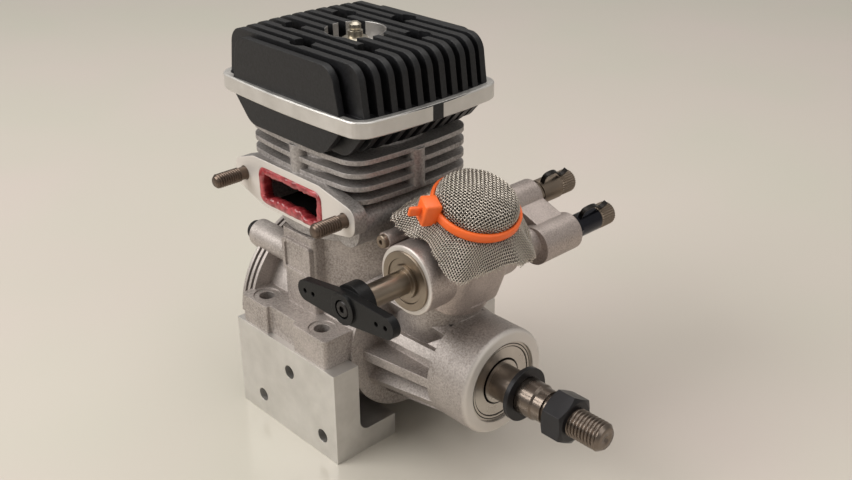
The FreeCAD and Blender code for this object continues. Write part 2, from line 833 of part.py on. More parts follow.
def cylinder():
    jacket = rod_z(jacket_radius, cylinder_base, cylinder_top)
    flange = rod_z(base_flange_radius, cylinder_base, cylinder_base + base_flange_height)
    bulges = []
    for side in (-1, 1):
        x = side * bulge_x
        start = -exhaust_face + exhaust_flange_thickness - 1
        bulges.append(rod_y(bulge_radius, start, bulge_far_end, x, bulge_z))
        bulges.append(Part.makeSphere(bulge_radius, Vector(x, bulge_far_end, bulge_z)))
    duct = plate(rectangle(port_left - 2.2, port_right + 2.2, port_bottom - 1.2, port_top + 1.8, 3),
                 "xz", -exhaust_face + 1, -12)
    body = join(jacket, flange, *bulges, duct, exhaust_flange(), *cylinder_fins(), *fin_bridges())
    port = plate(rectangle(port_left, port_right, port_bottom, port_top, port_round),
                 "xz", -exhaust_face - 1, -10)
    cuts = [rod_z(liner_outer, cylinder_base - 1, cylinder_top + 1),
            rod_z(liner_flange, cylinder_top - liner_flange_height, cylinder_top + 1), port]
    cuts += transfer_channels(cylinder_base - 1, transfer_top)
    for x in (-stud_x, stud_x):
        cuts.append(rod_y(stud_radius, -exhaust_face - 1, stud_inner, x, stud_z))
    for x, y in bolt_places():
        cuts.append(rod_z(bolt_radius, cylinder_top - bolt_engaged, cylinder_top + 1, x, y))
    return body.cut(cuts).removeSplitter()


def base_gasket():
    ring = rod_z(upper_radius, deck_height, cylinder_base)
    ring = ring.cut(rod_z(liner_outer, deck_height, cylinder_base))
    return ring.cut(transfer_channels(deck_height - 1, cylinder_base + 1))


def exhaust_studs():
    studs = []
    for x in (-stud_x, stud_x):
        end = -exhaust_face - stud_proud
        stud = turned([(end, 0), (end, stud_radius - 0.5), (end + 0.5, stud_radius),
                       (-exhaust_face - stud_shoulder, stud_radius),
                       (-exhaust_face - stud_shoulder, stud_shoulder_radius),
                       (-exhaust_face, stud_shoulder_radius), (-exhaust_face, stud_radius),
                       (stud_inner, stud_radius), (stud_inner, 0)], "y")
        stud.translate(Vector(x, 0, stud_z))
        studs.append(stud)
    return studs


def port_sealant():
    outer = plate(rectangle(port_left, port_right, port_bottom, port_top, port_round),
                  "xz", -exhaust_face, -exhaust_face + sealant_depth)
    wall = sealant_wall
    inner = plate(rectangle(port_left + wall, port_right - wall, port_bottom + wall, port_top - wall,
                            port_round - wall), "xz", -exhaust_face, -exhaust_face + sealant_depth)
    return outer.cut(inner)


# Head
def plate_half_length(y):
    """Half the plate's length in X at a given Y, on its bowed side."""
    corner_x, corner_y = plate_corner
    return plate_middle[0] - (plate_middle[0] - corner_x) * (y / corner_y) ** 2


def head_fin(y, half, top, lean, thickness):
    """One fin above and below the plate; the lower part tucks in over the cylinder."""
    upper = plate([(-half, plate_bottom + 1, 0), (half, plate_bottom + 1, 0),
                   (half - lean, top, head_fin_round), (lean - half, top, head_fin_round)],
                  "xz", y - thickness / 2, y + thickness / 2)
    low = head_bottom + 0.6
    lower = plate([(-half, plate_bottom + 1, 0), (low_fin_lean - half, low, low_fin_round),
                   (half - low_fin_lean, low, low_fin_round), (half, plate_bottom + 1, 0)],
                  "xz", y - thickness / 2, y + thickness / 2)
    return upper.fuse(lower)


def cylinder_head():
    fins = []
    for i in range(head_fin_count):
        y = head_fin_pitch * (i - (head_fin_count - 1) / 2)
        half = plate_half_length(y) - head_fin_inset
        fins.append(head_fin(y, half, head_fin_top, head_fin_lean, head_fin_thickness))
    for side in (-1, 1):
        fins.append(head_fin(side * panel_y, panel_half_length, panel_top, panel_lean,
                             head_fin_thickness))
    band = bowed_slab(plate_corner, plate_middle, plate_round, plate_bottom, plate_top)
    core = rod_z(head_core_radius, head_bottom, plate_bottom + 1)
    hub = rod_z(pocket_radius + 0.6, plate_top - 1, pocket_floor)
    body = join(band, core, hub, *fins)
    dome = Part.makeSphere(chamber_radius * 1.4,
                           Vector(0, 0, head_bottom + chamber_depth - chamber_radius * 1.4))
    chamber = dome.common(rod_z(chamber_radius, head_bottom - 1, head_bottom + 20))
    cuts = [chamber, rod_z(plug_thread_radius, head_bottom, pocket_floor + 1),
            rod_z(pocket_radius, pocket_floor, head_fin_top + 1)]
    for x, y in bolt_places():
        cuts.append(rod_z(bolt_radius + bolt_hole_gap, head_bottom - 1, plate_top + 1, x, y))
        cuts.append(rod_z(bolt_access_radius, plate_top, head_fin_top + 1, x, y))
    return body.cut(cuts).removeSplitter()


def head_gasket():
    return rod_z(liner_flange, cylinder_top, head_bottom).cut(
        rod_z(bore / 2, cylinder_top, head_bottom))


def head_bolts():
    length = plate_top - cylinder_top + bolt_engaged - 1
    bolts = []
    for x, y in bolt_places():
        bolt = socket_screw(bolt_head_radius, bolt_head_height, bolt_radius, length, 3.0)
        bolt.translate(Vector(x, y, plate_top))
        bolts.append(bolt)
    return bolts


def plug_body():
    seat = pocket_floor + plug_washer_height
    top = seat + plug_hex_height
    bottom = head_bottom + chamber_depth
    thread = rod_z(plug_thread_radius, bottom, seat)
    barrel = rod_z(plug_barrel_radius, top, top + plug_barrel_height)
    body = join(thread, hexagon(plug_hex, seat, top, "z"), barrel)
    return body.cut(rod_z(plug_stem_radius, bottom + 2, top + 20))


def plug_terminal():
    barrel_top = pocket_floor + plug_washer_height + plug_hex_height + plug_barrel_height
    bottom = head_bottom + chamber_depth + 2
    stem = plug_stem_radius - 0.2
    button = plug_button_radius
    return turned([(bottom, 0), (bottom, stem), (barrel_top + 0.3, stem), (barrel_top + 0.3, button - 0.3),
                   (barrel_top + 0.9, button), (plug_top - 0.8, button), (plug_top, button - 0.9),
                   (plug_top, 0)], "z")


def plug_insulator():
    """The glass sleeve that holds the terminal in the plug's body."""
    barrel_top = pocket_floor + plug_washer_height + plug_hex_height + plug_barrel_height
    return rod_z(plug_stem_radius, barrel_top - 4, barrel_top).cut(
        rod_z(plug_stem_radius - 0.2, barrel_top - 4, barrel_top))


def plug_washer():
    top = pocket_floor + plug_washer_height
    return rod_z(plug_washer_radius, pocket_floor, top).cut(rod_z(plug_thread_radius, pocket_floor, top))


# Carburettor
def needle_ear():
    """The cast ear beside the carburettor that carries both needle seats."""
    spread = (idle_x, main_x)
    bar = box(spread, (ear_start, ear_end), (barrel_z - 5, barrel_z + 5.5))
    return [bar, rod_y(main_boss_radius, ear_start - 3, main_boss_end, main_x, barrel_z),
            rod_y(idle_boss_radius, ear_start, ear_end, idle_x, idle_z),
            rod_y(neck_boss_radius, 8, ear_start + 1, main_x * 0.75, barrel_z),
            rod_y(neck_boss_radius - 1, 8, ear_start + 1, idle_x * 0.5, barrel_z)]


def carburettor_body():
    base = rod_z(boss_radius + 0.8, carb_body_bottom, carb_body_bottom + 3)
    half = carb_body_half
    block = plate(rectangle(-half, half, -half, half, carb_body_round), "xy",
                  carb_body_bottom + 2, carb_body_top)
    stub = rod_z(stub_radius, stub_bottom, carb_body_bottom + 1)
    intake = rod_z(intake_radius, carb_body_top - 1, intake_top)
    housing = rod_y(housing_radius, -housing_front, housing_back, 0, barrel_z)
    rim = [e for e in housing.Edges if abs(e.BoundBox.YMax + housing_front) < 1e-4]
    housing = housing.makeFillet(0.7, rim)
    stop_lug = rod_y(idle_stop_radius + 1.2, -housing_front + 1, -10, idle_stop_x, idle_stop_z)
    body = join(base, block, stub, intake, housing, stop_lug, *needle_ear())
    cuts = [rod_z(venturi_radius, barrel_z, intake_top + 1),
            rod_z(throat_radius, stub_bottom - 1, barrel_z),
            rod_y(barrel_radius + running_gap, -housing_front - 1, barrel_back, 0, barrel_z),
            rod_y(idle_stop_radius, -housing_front - 1, -9, idle_stop_x, idle_stop_z),
            rod_y(1.9, ear_end - 8, main_boss_end + 1, main_x, barrel_z),
            rod_y(1.9, ear_end - 8, ear_end + 1, idle_x, idle_z),
            rod_y(1.4, ear_end - 6, ear_end + 1, nipple_x, nipple_z)]
    mouth = Part.makeCone(venturi_radius, intake_radius - 1.0, 3.4, Vector(0, 0, intake_top - 3.4), Z_AXIS)
    return in_carb(body.cut(cuts + [mouth]).removeSplitter())


def carb_seal():
    ring = rod_z(boss_radius, boss_top, carb_body_bottom).cut(
        rod_z(stub_radius + running_gap, boss_top, carb_body_bottom))
    return in_carb(ring)


def throttle_barrel():
    """The rotary barrel, half open: its passage is turned 35 degrees from the intake."""
    body = join(rod_y(barrel_radius, -barrel_face, barrel_back - free_gap),
                rod_y(barrel_step_radius, -barrel_step_end, -barrel_face + 1),
                rod_y(throttle_shaft_radius, -throttle_shaft_end, -barrel_face + 1))
    passage = rod_z(throat_radius, -barrel_radius * 2, barrel_radius * 2)
    passage.rotate(ORIGIN, Y_AXIS, 35)
    body = body.cut(passage)
    body.translate(Vector(0, 0, barrel_z))
    return in_carb(body)


def servo_arm():
    """The two-armed horn on the barrel's shaft, with its hub and link holes."""
    back = -throttle_shaft_end + 1.5
    face = back - arm_hub_length
    hub = rod_y(arm_hub_radius, face, back)
    tip = arm_half_length - arm_tip_radius
    arm = plate([(-tip, -arm_tip_radius, 0), (0, -arm_root_half_width, 12), (tip, -arm_tip_radius, 0),
                 (tip, arm_tip_radius, 0), (0, arm_root_half_width, 12), (-tip, arm_tip_radius, 0)],
                "xz", face - arm_thickness, face)
    ends = [rod_y(arm_tip_radius, face - arm_thickness, face, side * tip) for side in (-1, 1)]
    lip = rod_y(arm_root_half_width, face - arm_thickness - 0.7, face)
    body = join(hub, arm, lip, *ends)
    cuts = [rod_y(throttle_shaft_radius, -throttle_shaft_end, back + 1),
            rod_y(1.2, face - 5, back), rod_y(arm_screw_head + 0.4, face - 5, face - 1.6)]
    for reach in arm_holes:
        for side in (-1, 1):
            cuts.append(rod_y(arm_hole_radius, face - 4, face + 1, side * reach))
    body = body.cut(cuts)
    body.rotate(ORIGIN, Y_AXIS, -arm_angle - carb_tilt)
    body.translate(Vector(0, 0, barrel_z))
    return in_carb(body)


def servo_arm_screw():
    face = -throttle_shaft_end + 1.5 - arm_hub_length - 1.6
    screw = socket_screw(arm_screw_head, 1.8, 1.2, 3.0, 2.0)
    screw.rotate(ORIGIN, X_AXIS, 90)
    screw.translate(Vector(0, face, barrel_z))
    return in_carb(screw)


def idle_stop_screw():
    screw = socket_screw(idle_stop_radius + 0.7, 1.6, idle_stop_radius, 9, 1.5)
    screw.rotate(ORIGIN, X_AXIS, 90)
    screw.translate(Vector(idle_stop_x, -housing_front + 1, idle_stop_z))
    return in_carb(screw)


def needle_seat(seat, x, z, start):
    hexed = hexagon(seat["hex"], start, start + seat["hex_length"], "y", x, 0, z)
    collar_end = start + seat["hex_length"] + seat["collar_length"]
    collar = rod_y(seat["collar"], start + seat["hex_length"], collar_end, x, z)
    stem = rod_y(1.9, ear_end - 7.5, start + 1, x, z)
    body = join(hexed, collar, stem)
    return in_carb(body.cut(rod_y(needle_radius + running_gap, ear_end - 9, collar_end + 1, x, z)))


def needle(seat, x, z, start):
    """The knurled knob and the needle that it carries into the seat."""
    face = start + seat["hex_length"] + seat["collar_length"] + free_gap
    knob = rod_y(knob_radius, face, face + knob_length)
    rim = [e for e in knob.Edges if abs(e.BoundBox.YMin - face - knob_length) < 1e-4]
    knob = knob.makeChamfer(1.0, rim)
    flutes = []
    for i in range(knob_flutes):
        angle = math.radians(360 / knob_flutes * i)
        flutes.append(rod_y(knob_flute_radius, face - 1, face + knob_length + 1,
                            knob_radius * math.cos(angle), knob_radius * math.sin(angle)))
    body = join(knob.cut(flutes), rod_y(needle_radius, ear_end - 6, face + 1))
    body.translate(Vector(x, 0, z))
    return in_carb(body)


def ratchet_spring(seat, x, z, start):
    """The leaf that is clamped on the collar and clicks over the knob's knurl."""
    root = start + seat["hex_length"] + 1
    end = start + seat["hex_length"] + seat["collar_length"] + knob_length / 2
    low, high = z + seat["collar"], z + seat["collar"] + spring_height
    over_knob = z + knob_radius + free_gap
    bend = root + spring_bend
    thick = spring_thickness
    leaf = [(root, low, 0), (root, high - spring_bend / 2, 0), (bend, high, 0),
            (end, over_knob + thick, 0), (end, over_knob, 0), (bend, high - thick, 0),
            (root + thick, high - spring_bend / 2 - thick / 2, 0), (root + thick, low, 0)]
    return in_carb(plate(leaf, "yz", x - spring_width / 2, x + spring_width / 2))


def fuel_nipple():
    z = nipple_z
    tube = rod_y(1.4, ear_end - 5, ear_end + 8, nipple_x, z)
    barb = Part.makeCone(2.3, 1.4, 3, Vector(nipple_x, ear_end + 5, z), Y_AXIS)
    collar = rod_y(2.6, ear_end, ear_end + 1.5, nipple_x, z)
    return in_carb(join(tube, barb, collar).cut(rod_y(0.8, ear_end - 6, ear_end + 9, nipple_x, z)))


def pinch_bolt():
    """The bolt through the ear behind the carburettor boss that clamps the stub."""
    bolt = socket_screw(2.3, 2.4, pinch_bolt_radius, 2 * pinch_ear_half - 0.6, 2.5)
    bolt.rotate(ORIGIN, X_AXIS, 90)
    bolt.translate(Vector(pinch_x, -pinch_ear_half, pinch_z))
    return in_carb(bolt)


def mesh_filter():
    inner = intake_radius + mesh_gap
    outer = inner + mesh_thickness
    profile = [(mesh_top, 0), (mesh_top, outer - 6), (mesh_top - 1.0, outer - 2), (mesh_top - 3.2, outer),
               (tie_z - skirt_drop, outer), (skirt_bottom, skirt_radius), (skirt_bottom, skirt_radius - 1.1),
               (tie_z - skirt_drop, inner), (intake_top + 0.4, inner), (intake_top + 0.4, 0)]
    return in_carb(turned(profile, "z"))


def zip_tie():
    inner = intake_radius + mesh_gap + mesh_thickness
    outer = inner + tie_thickness
    band = rod_z(outer, tie_z, tie_z + tie_width).cut(rod_z(inner, tie_z, tie_z + tie_width))
    length, width, height = buckle_size
    middle = tie_z + tie_width / 2
    buckle = box((inner, inner + length), (-width / 2, width / 2), (middle - height / 2, middle + height / 2))
    tail = box((inner + length - 1, inner + length + 4), (-1.2, 1.2), (middle - 0.8, middle + 0.8))
    body = join(band, buckle, tail)
    body.rotate(ORIGIN, Z_AXIS, buckle_angle)
    return in_carb(body)


# Mount block
def mount_block():
    """The L-shaped block under the exhaust side's lug, with its tapped holes."""
    outer, inner, foot = -block_outer, -block_inner, -block_foot_end
    floor = -block_height
    step = floor + block_foot_height
    body = plate([(outer, floor, 0), (foot, floor, 0), (foot, step, 0), (inner, step, block_fillet),
                  (inner, 0, 0), (outer, 0, 0)], "yz", block_rear, block_front)
    cuts = [rod_z(lug_hole_radius, -block_thread_depth, 1, x, -lug_hole_y)
            for x in (-lug_hole_x, lug_hole_x)]
    half = side_hole_spacing / 2
    for x, z in ((side_hole_x - half, side_hole_low_z), (side_hole_x + half, side_hole_low_z),
                 (side_hole_x, side_hole_high_z)):
        cuts.append(rod_y(side_hole_radius, outer - 1, outer + side_hole_depth, x, z))
    return body.cut(cuts)


os.makedirs("parts", exist_ok=True)

export("crankcase", crankcase())
export("rear_cover", rear_cover())
export("rear_cover_screws", *cover_screws())
export("cylinder", cylinder())
export("cylinder_liner", liner())
export("base_gasket", base_gasket())
export("exhaust_studs", *exhaust_studs())
export("port_sealant", port_sealant())
export("cylinder_head", cylinder_head())
export("head_gasket", head_gasket())
export("head_bolts", *head_bolts())
export("glow_plug_body", plug_body())
export("glow_plug_terminal", plug_terminal())
export("glow_plug_insulator", plug_insulator())
export("glow_plug_washer", plug_washer())

export("front_bearing_outer", outer_race(front_bearing, front_bearing_start))
export("front_bearing_inner", inner_race(front_bearing, front_bearing_start))
export("front_bearing_balls", *balls(front_bearing, front_bearing_start))
export("front_bearing_shield", bearing_shield())
export("rear_bearing_outer", outer_race(rear_bearing, rear_bearing_start))
export("rear_bearing_inner", inner_race(rear_bearing, rear_bearing_start))
export("rear_bearing_balls", *balls(rear_bearing, rear_bearing_start))
export("crankshaft", crankshaft())
export("shaft_washer", shaft_washer())
export("shaft_nut", shaft_nut())

export("piston", piston())
export("piston_ring", piston_ring())
export("wrist_pin", wrist_pin())
export("wrist_pin_clips", *pin_clips())
export("connecting_rod", connecting_rod())
export("big_end_bush", rod_bush(crankpin_radius, 0, -crank_radius))
export("small_end_bush", rod_bush(wrist_pin_radius, running_gap, pin_rest_z))
export("crankpin", crankpin())

export("carburettor_body", carburettor_body())
export("carburettor_seal", carb_seal())
export("carburettor_pinch_bolt", pinch_bolt())
export("throttle_barrel", throttle_barrel())
export("servo_arm", servo_arm())
export("servo_arm_screw", servo_arm_screw())
export("idle_stop_screw", idle_stop_screw())
export("main_needle_seat", needle_seat(main_seat, main_x, barrel_z, main_boss_end))
export("main_needle", needle(main_seat, main_x, barrel_z, main_boss_end))
export("main_ratchet_spring", ratchet_spring(main_seat, main_x, barrel_z, main_boss_end))
export("idle_needle_seat", needle_seat(idle_seat, idle_x, idle_z, ear_end))
export("idle_needle", needle(idle_seat, idle_x, idle_z, ear_end))
export("idle_ratchet_spring", ratchet_spring(idle_seat, idle_x, idle_z, ear_end))
export("fuel_nipple", fuel_nipple())
export("mesh_filter", mesh_filter())
export("zip_tie", zip_tie())

block = mount_block()
export("mount_block_left", block)
export("mount_block_right", mirrored(block))
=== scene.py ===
import json
import math
import random

import bmesh
import bpy
from mathutils import Matrix, Vector, noise


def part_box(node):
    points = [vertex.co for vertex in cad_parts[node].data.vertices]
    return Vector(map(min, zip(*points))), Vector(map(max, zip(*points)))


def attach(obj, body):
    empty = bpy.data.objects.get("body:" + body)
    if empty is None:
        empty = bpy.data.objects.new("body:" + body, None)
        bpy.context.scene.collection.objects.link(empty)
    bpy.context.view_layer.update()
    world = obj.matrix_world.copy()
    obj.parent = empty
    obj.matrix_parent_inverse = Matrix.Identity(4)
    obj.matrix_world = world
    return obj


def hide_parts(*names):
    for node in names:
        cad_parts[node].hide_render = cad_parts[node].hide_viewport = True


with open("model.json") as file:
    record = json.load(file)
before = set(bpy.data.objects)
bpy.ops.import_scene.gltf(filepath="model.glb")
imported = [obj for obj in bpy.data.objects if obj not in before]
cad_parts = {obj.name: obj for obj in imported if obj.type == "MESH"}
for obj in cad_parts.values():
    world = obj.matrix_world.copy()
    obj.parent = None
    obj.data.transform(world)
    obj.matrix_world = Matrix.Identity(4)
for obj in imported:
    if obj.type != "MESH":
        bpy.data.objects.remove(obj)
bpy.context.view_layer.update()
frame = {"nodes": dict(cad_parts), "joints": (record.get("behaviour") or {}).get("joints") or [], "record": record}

# Looks of the model helicopter engine. Lengths are millimetres, turned into metres by MM.
MM = 0.001
random.seed(7)

# Camera, as the photograph was taken
CAMERA_PLACE = Vector((259.5, -212.7, 192.2)) * MM
CAMERA_TARGET = Vector((15.21, 16.23, 26.14)) * MM
CAMERA_ROLL = math.radians(-0.328)
CAMERA_LENS = 45.0
SENSOR_WIDTH = 36.0

# The carburettor's own axes, from the joints of its barrel and main needle
JOINTS = {joint["name"]: joint for joint in frame["joints"]}
BARREL = Vector(JOINTS["throttle_turn"]["pos_m"])
MAIN_NEEDLE = Vector(JOINTS["main_needle_turn"]["pos_m"])
IDLE_NEEDLE = Vector(JOINTS["idle_needle_turn"]["pos_m"])
CARB_X = (MAIN_NEEDLE - BARREL).normalized()
CARB_Y = Vector((0, 1, 0))
CARB_Z = CARB_X.cross(CARB_Y)
BARREL_HEIGHT = 28.5        # of the barrel's axis in the carburettor's frame
CARB_ORIGIN = BARREL - CARB_Z * BARREL_HEIGHT * MM

# Filter: a square of woven wire, pulled down over the intake by the tie
WIRE_PITCH = 0.9
WIRE_RADIUS = 0.16
WIRE_SIDES = 5
WEAVE_SHARE = 0.95          # of a wire's radius, by which it passes over or under
SAMPLES_PER_PITCH = 2
FRAY = 0.5                  # by which a wire's end falls short or sticks out
SHADE_SHEET_DEPTH = 0.34         # of the dark sheet of painted shade under the woven wires
SHADE_SHEET_MARGIN = 1.0         # by which the dark sheet of painted shade is smaller than the cloth
FILTER_TOP = 57.2
FILTER_SIDE = 12.95         # radius of the gathered side
SHOULDER_RADIUS = 3.4
TOP_DOME = 1.3
SIDE_WAIST = 0.25           # by which the tie draws the side in
TIE_HEIGHT = 49.9           # middle of the tie
CLOTH_MIDDLE = 27.2         # from the centre to the middle of the cloth's edge
CLOTH_CORNER = 32.5         # and to its clipped corners
CLOTH_RAGGED = 1.2          # how uneven the cut edge is
SKIRT_SLOPE = math.radians(47)
SKIRT_BEND = 4.0            # the length over which the skirt turns out
SKIRT_SPREAD = 0.9
PLEAT_WAVES = ((5, 0.7, 1.0), (8, 2.1, 0.6), (13, 0.0, 0.5))    # count, start and share
SIDE_PLEAT = 0.1            # depth of the pleats on the side
SIDE_PLEAT_START = 2.0
SIDE_PLEAT_REACH = 14.0
SKIRT_PLEAT = 0.75          # and on the skirt
SKIRT_PLEAT_REACH = 9.0
SKIRT_PLEAT_GROWTH = 1.3
CRUMPLE = 0.35
CRUMPLES_PER_MM = 0.16
TANGENT_STEP = 0.05

# Tie
TIE_WIDTH = 2.9
TIE_THICKNESS = 1.2
TIE_INNER = 13.3
TIE_CROWN = 0.25            # rounding of its outer corners, in its thickness
TIE_ROUND = 0.45            # and in its width
TIE_SAG = 0.35
BUCKLE_ANGLE = math.radians(250)
BUCKLE_SIZE = (5.4, 6.0, 7.8)
BUCKLE_OUT = 2.6            # of its middle from the strap's inner side
TAIL_SIZE = (4.6, 1.5, 3.4)
TAIL_OUT = 7.0
TAIL_LIFT = 0.2
BUCKLE_ROUND = 0.7

# Threads
THREAD_DEPTH_SHARE = 0.66   # of the pitch
FLANK_STEEPNESS = 2.7       # of a ridge's sides: above 2, its top is flat
CHAMFER_SLOPE = 0.9
STUD_RADIUS = 2.5
STUD_PITCH = 0.9
STUD_SHOULDER = 2.5         # unthreaded length beside the flange
STUD_SHOULDER_RADIUS = 2.2
STUD_CHAMFER = 0.9
SHAFT_CUT = 1.0             # inside the nut, where the plain shaft ends
SHAFT_THREAD_PITCH = 1.25
SHAFT_CHAMFER = 1.3
SHAFT_THREAD_RADIUS = 4.75
CENTRE_HOLE_RADIUS = 1.1
CENTRE_HOLE_DEPTH = 2.0
CENTRE_HOLE_BOTTOM = 0.1

# Needle knobs
KNOB_RADIUS = 4.15
KNOB_LENGTH = 7.9
KNOB_END_ROUND = 1.6        # length of its rounded end
KNOB_END_DROP = 1.5         # and by how much that end narrows
KNOB_START_ROUND = 0.5
KNOB_START_DROP = 0.6
KNURL_COUNT = 30
KNURL_DEPTH = 0.36
NEEDLE_RADIUS = 0.9

# Ratchet springs over the needles' collars, from each needle's axis
SPRING_WIDTH = 1.6
SPRING_THICKNESS = 0.55
SPRING_RISE = 3.2           # of the arch over the collar
SPRING_CLEARANCE = 0.45     # over the knob
SPRING_ROOT = 0.6           # from the near end of the CAD model's spring
SPRING_ARCH_START = 1.6     # from its root
SPRING_ARCH_END = 3.2       # before the knob
SPRING_PAD = 1.6            # its straight length over the knob
SPRING_TIP = 3.4            # from the knob's near face
SPRING_TIP_RISE = 1.5
MAIN_COLLAR = 4.1           # radius of the main needle's seat
IDLE_COLLAR = 4.4

# Bare turned edge of the head's plate, just proud of the painted panels
BAND_CORNER = (36.9, 30.0)
BAND_MIDDLE = (38.39, 31.2)
BAND_ROUND = 6.5
BAND_LOW = 80.8
BAND_HIGH = 86.1
BAND_WALL = 2.4
BAND_EDGE = 0.35
BAND_SIDE_STEPS = 20
BAND_CORNER_STEPS = 8
POCKET_RADIUS = 10.15       # of the glow plug's pocket

# The throttle barrel's face, on the carburettor's housing
HOUSING_FACE = 22.2
BARREL_FACE = ((0.05, 5.45), (0.05, 9.75), (0.65, 9.75), (0.8, 9.6), (0.8, 7.4), (0.3, 7.2), (0.3, 5.45))

# Sealant squeezed out round the exhaust port
BEAD_CORNER = 3.2
BEAD_WIDTH = 2.7
BEAD_OVERLAP = 0.15         # outside the port's edge
BEAD_PROUD = 0.75
BEAD_DEPTH = 4.0            # inside the port
BEAD_SETBACK = 0.2          # of its middle behind the sealant's front

# Room
FLOOR_REACH = 3.0           # metres
LIGHT_TARGET = Vector((0.02, 0.0, 0.02))

# Every surface made, by name. A slot's surface has the slot's name.
MATERIALS = {}


def carb_point(x, y, z):
    """From the carburettor's own frame, in millimetres, to the row frame in metres."""
    return CARB_ORIGIN + (CARB_X * x + CARB_Y * y + CARB_Z * z) * MM


def srgb(red, green, blue):
    """A colour as it looks on a screen, 0 to 255, as Blender's linear values."""
    def linear(value):
        value /= 255
        return value / 12.92 if value <= 0.04045 else ((value + 0.055) / 1.055) ** 2.4
    return linear(red), linear(green), linear(blue), 1.0


# Materials
class Surface:
    """A Principled material that is built up node by node."""

    def __init__(self, name, color, roughness, metallic=0.0):
        self.material = bpy.data.materials.new(name)
        MATERIALS[name] = self.material
        self.material.use_nodes = True
        self.tree = self.material.node_tree
        self.shader = self.tree.nodes["Principled BSDF"]
        self.set("Base Color", color)
        self.set("Roughness", roughness)
        self.set("Metallic", metallic)
        self.coordinates = self.node("ShaderNodeTexCoord").outputs["Object"]

    def plug(self, socket, value):
        """Links another node's output to a socket, or gives the socket a value of its own."""
        if hasattr(value, "is_output"):
            self.tree.links.new(value, socket)
        else:
            socket.default_value = value

    def set(self, name, value):
        """Plugs a value into the shader."""
        self.plug(self.shader.inputs[name], value)

    def node(self, kind, inputs=None, **settings):
        """A new node, with its inputs plugged in."""
        made = self.tree.nodes.new(kind)
        for name, value in settings.items():
            setattr(made, name, value)
        for name, value in (inputs or {}).items():
            self.plug(made.inputs[name], value)
        return made

    def noise(self, per_mm, detail=3.0, roughness=0.55, stretch=(1, 1, 1)):
        """Noise with so many features per millimetre, from 0 to 1."""
        mapping = self.node("ShaderNodeMapping", {"Vector": self.coordinates, "Scale": stretch})
        made = self.node("ShaderNodeTexNoise", {"Vector": mapping.outputs[0], "Scale": per_mm / MM,
                                                "Detail": detail, "Roughness": roughness})
        return made.outputs["Fac"]

    def ramp(self, factor, low, high, color_low, color_high):
        """One colour up to low, another from high on."""
        made = self.node("ShaderNodeValToRGB", {"Fac": factor})
        first, last = made.color_ramp.elements
        first.position, last.position = low, high
        first.color, last.color = color_low, color_high
        return made.outputs["Color"]

    def mask(self, factor, low, high):
        """0 below low, 1 above high."""
        made = self.node("ShaderNodeMapRange", {"Value": factor, "From Min": low, "From Max": high})
        return made.outputs["Result"]

    def mix(self, factor, first, second):
        """The first colour where the factor is 0, the second where it is 1."""
        return self.node("ShaderNodeMix", {0: factor, 6: first, 7: second}, data_type="RGBA").outputs[2]

    def maths(self, operation, first, second=0.0):
        return self.node("ShaderNodeMath", {0: first, 1: second}, operation=operation).outputs[0]

    def multiply(self, first, second):
        return self.maths("MULTIPLY", first, second)

    def along(self, axis):
        """How far a point lies along X, Y or Z, in metres."""
        made = self.node("ShaderNodeSeparateXYZ", {"Vector": self.coordinates})
        return made.outputs[axis]

    def inside(self, box):
        """1 within a box, given as (low, high) in millimetres for each axis."""
        factor = None
        for axis, (low, high) in enumerate(box):
            here = self.along(axis)
            above = self.mask(here, (low - 0.1) * MM, low * MM)
            below = self.mask(here, (high + 0.1) * MM, high * MM)
            both = self.multiply(above, below)
            factor = both if factor is None else self.multiply(factor, both)
        return factor

    def from_axis(self, first, second):
        """How far a point lies from the third axis, in metres."""
        squares = [self.multiply(here, here) for here in (self.along(first), self.along(second))]
        return self.maths("SQRT", self.maths("ADD", *squares))

    def ring(self, low, high):
        """1 between two distances from the crankshaft's axis, in millimetres."""
        away = self.from_axis(1, 2)
        return self.multiply(self.mask(away, (low - 0.05) * MM, (low + 0.05) * MM),
                             self.mask(away, (high + 0.05) * MM, (high - 0.05) * MM))

    def round_edges(self, radius):
        """Softens sharp edges by a radius, and returns the softened normal."""
        return self.node("ShaderNodeBevel", {"Radius": radius * MM}, samples=6).outputs["Normal"]

    def edge_mask(self, softened):
        """Near 1 on edges, where the softened normal leaves the true one."""
        true_normal = self.node("ShaderNodeNewGeometry").outputs["Normal"]
        dot = self.node("ShaderNodeVectorMath", {0: softened, 1: true_normal}, operation="DOT_PRODUCT")
        return self.mask(dot.outputs["Value"], 0.995, 0.86)

    def bump(self, height, depth, normal=None, strength=1.0):
        """Height from 0 to 1 becomes relief of so many millimetres."""
        made = self.node("ShaderNodeBump", {"Height": height, "Distance": depth * MM,
                                            "Strength": strength})
        if normal is not None:
            self.tree.links.new(normal, made.inputs["Normal"])
        return made.outputs["Normal"]


def cast_surface(name, color, dark, grain=1.0, relief=0.10, edge=0.35, roughness=0.5, bare=None,
                 port_shade_box=None):
    """Sand-cast aluminium: speckled grain and soft edges.

    Bare is (axis, from, to): past there the casting is machined bright. The box given last is painted near black:
    painted shade inside the exhaust port.
    """
    made = Surface(name, color, roughness, 0.7)
    grains = made.noise(1.6 * grain, 4.0, 0.62)
    patches = made.noise(0.07, 3.0)
    speckled = made.ramp(grains, 0.33, 0.66, dark, color)
    pale = tuple(min(1.0, c * 1.16) for c in color[:3]) + (1.0,)
    body = made.mix(made.mask(patches, 0.35, 0.7), speckled, made.mix(0.5, speckled, pale))
    if bare is not None:
        axis, start, full = bare
        turned = made.mask(made.along(axis), start * MM, full * MM)
        body = made.mix(turned, body, srgb(226, 220, 214))
        grains = made.multiply(grains, made.maths("SUBTRACT", 1.0, turned))
    if port_shade_box is not None:
        # Painted shade: near black within the exhaust port's box
        body = made.mix(made.inside(port_shade_box), body, srgb(22, 19, 18))
    made.set("Base Color", body)
    rough = made.node("ShaderNodeMapRange", {"Value": grains, "To Min": roughness + 0.1,
                                             "To Max": roughness - 0.08})
    made.set("Roughness", rough.outputs["Result"])
    softened = made.round_edges(edge)
    made.set("Normal", made.bump(grains, relief, softened))


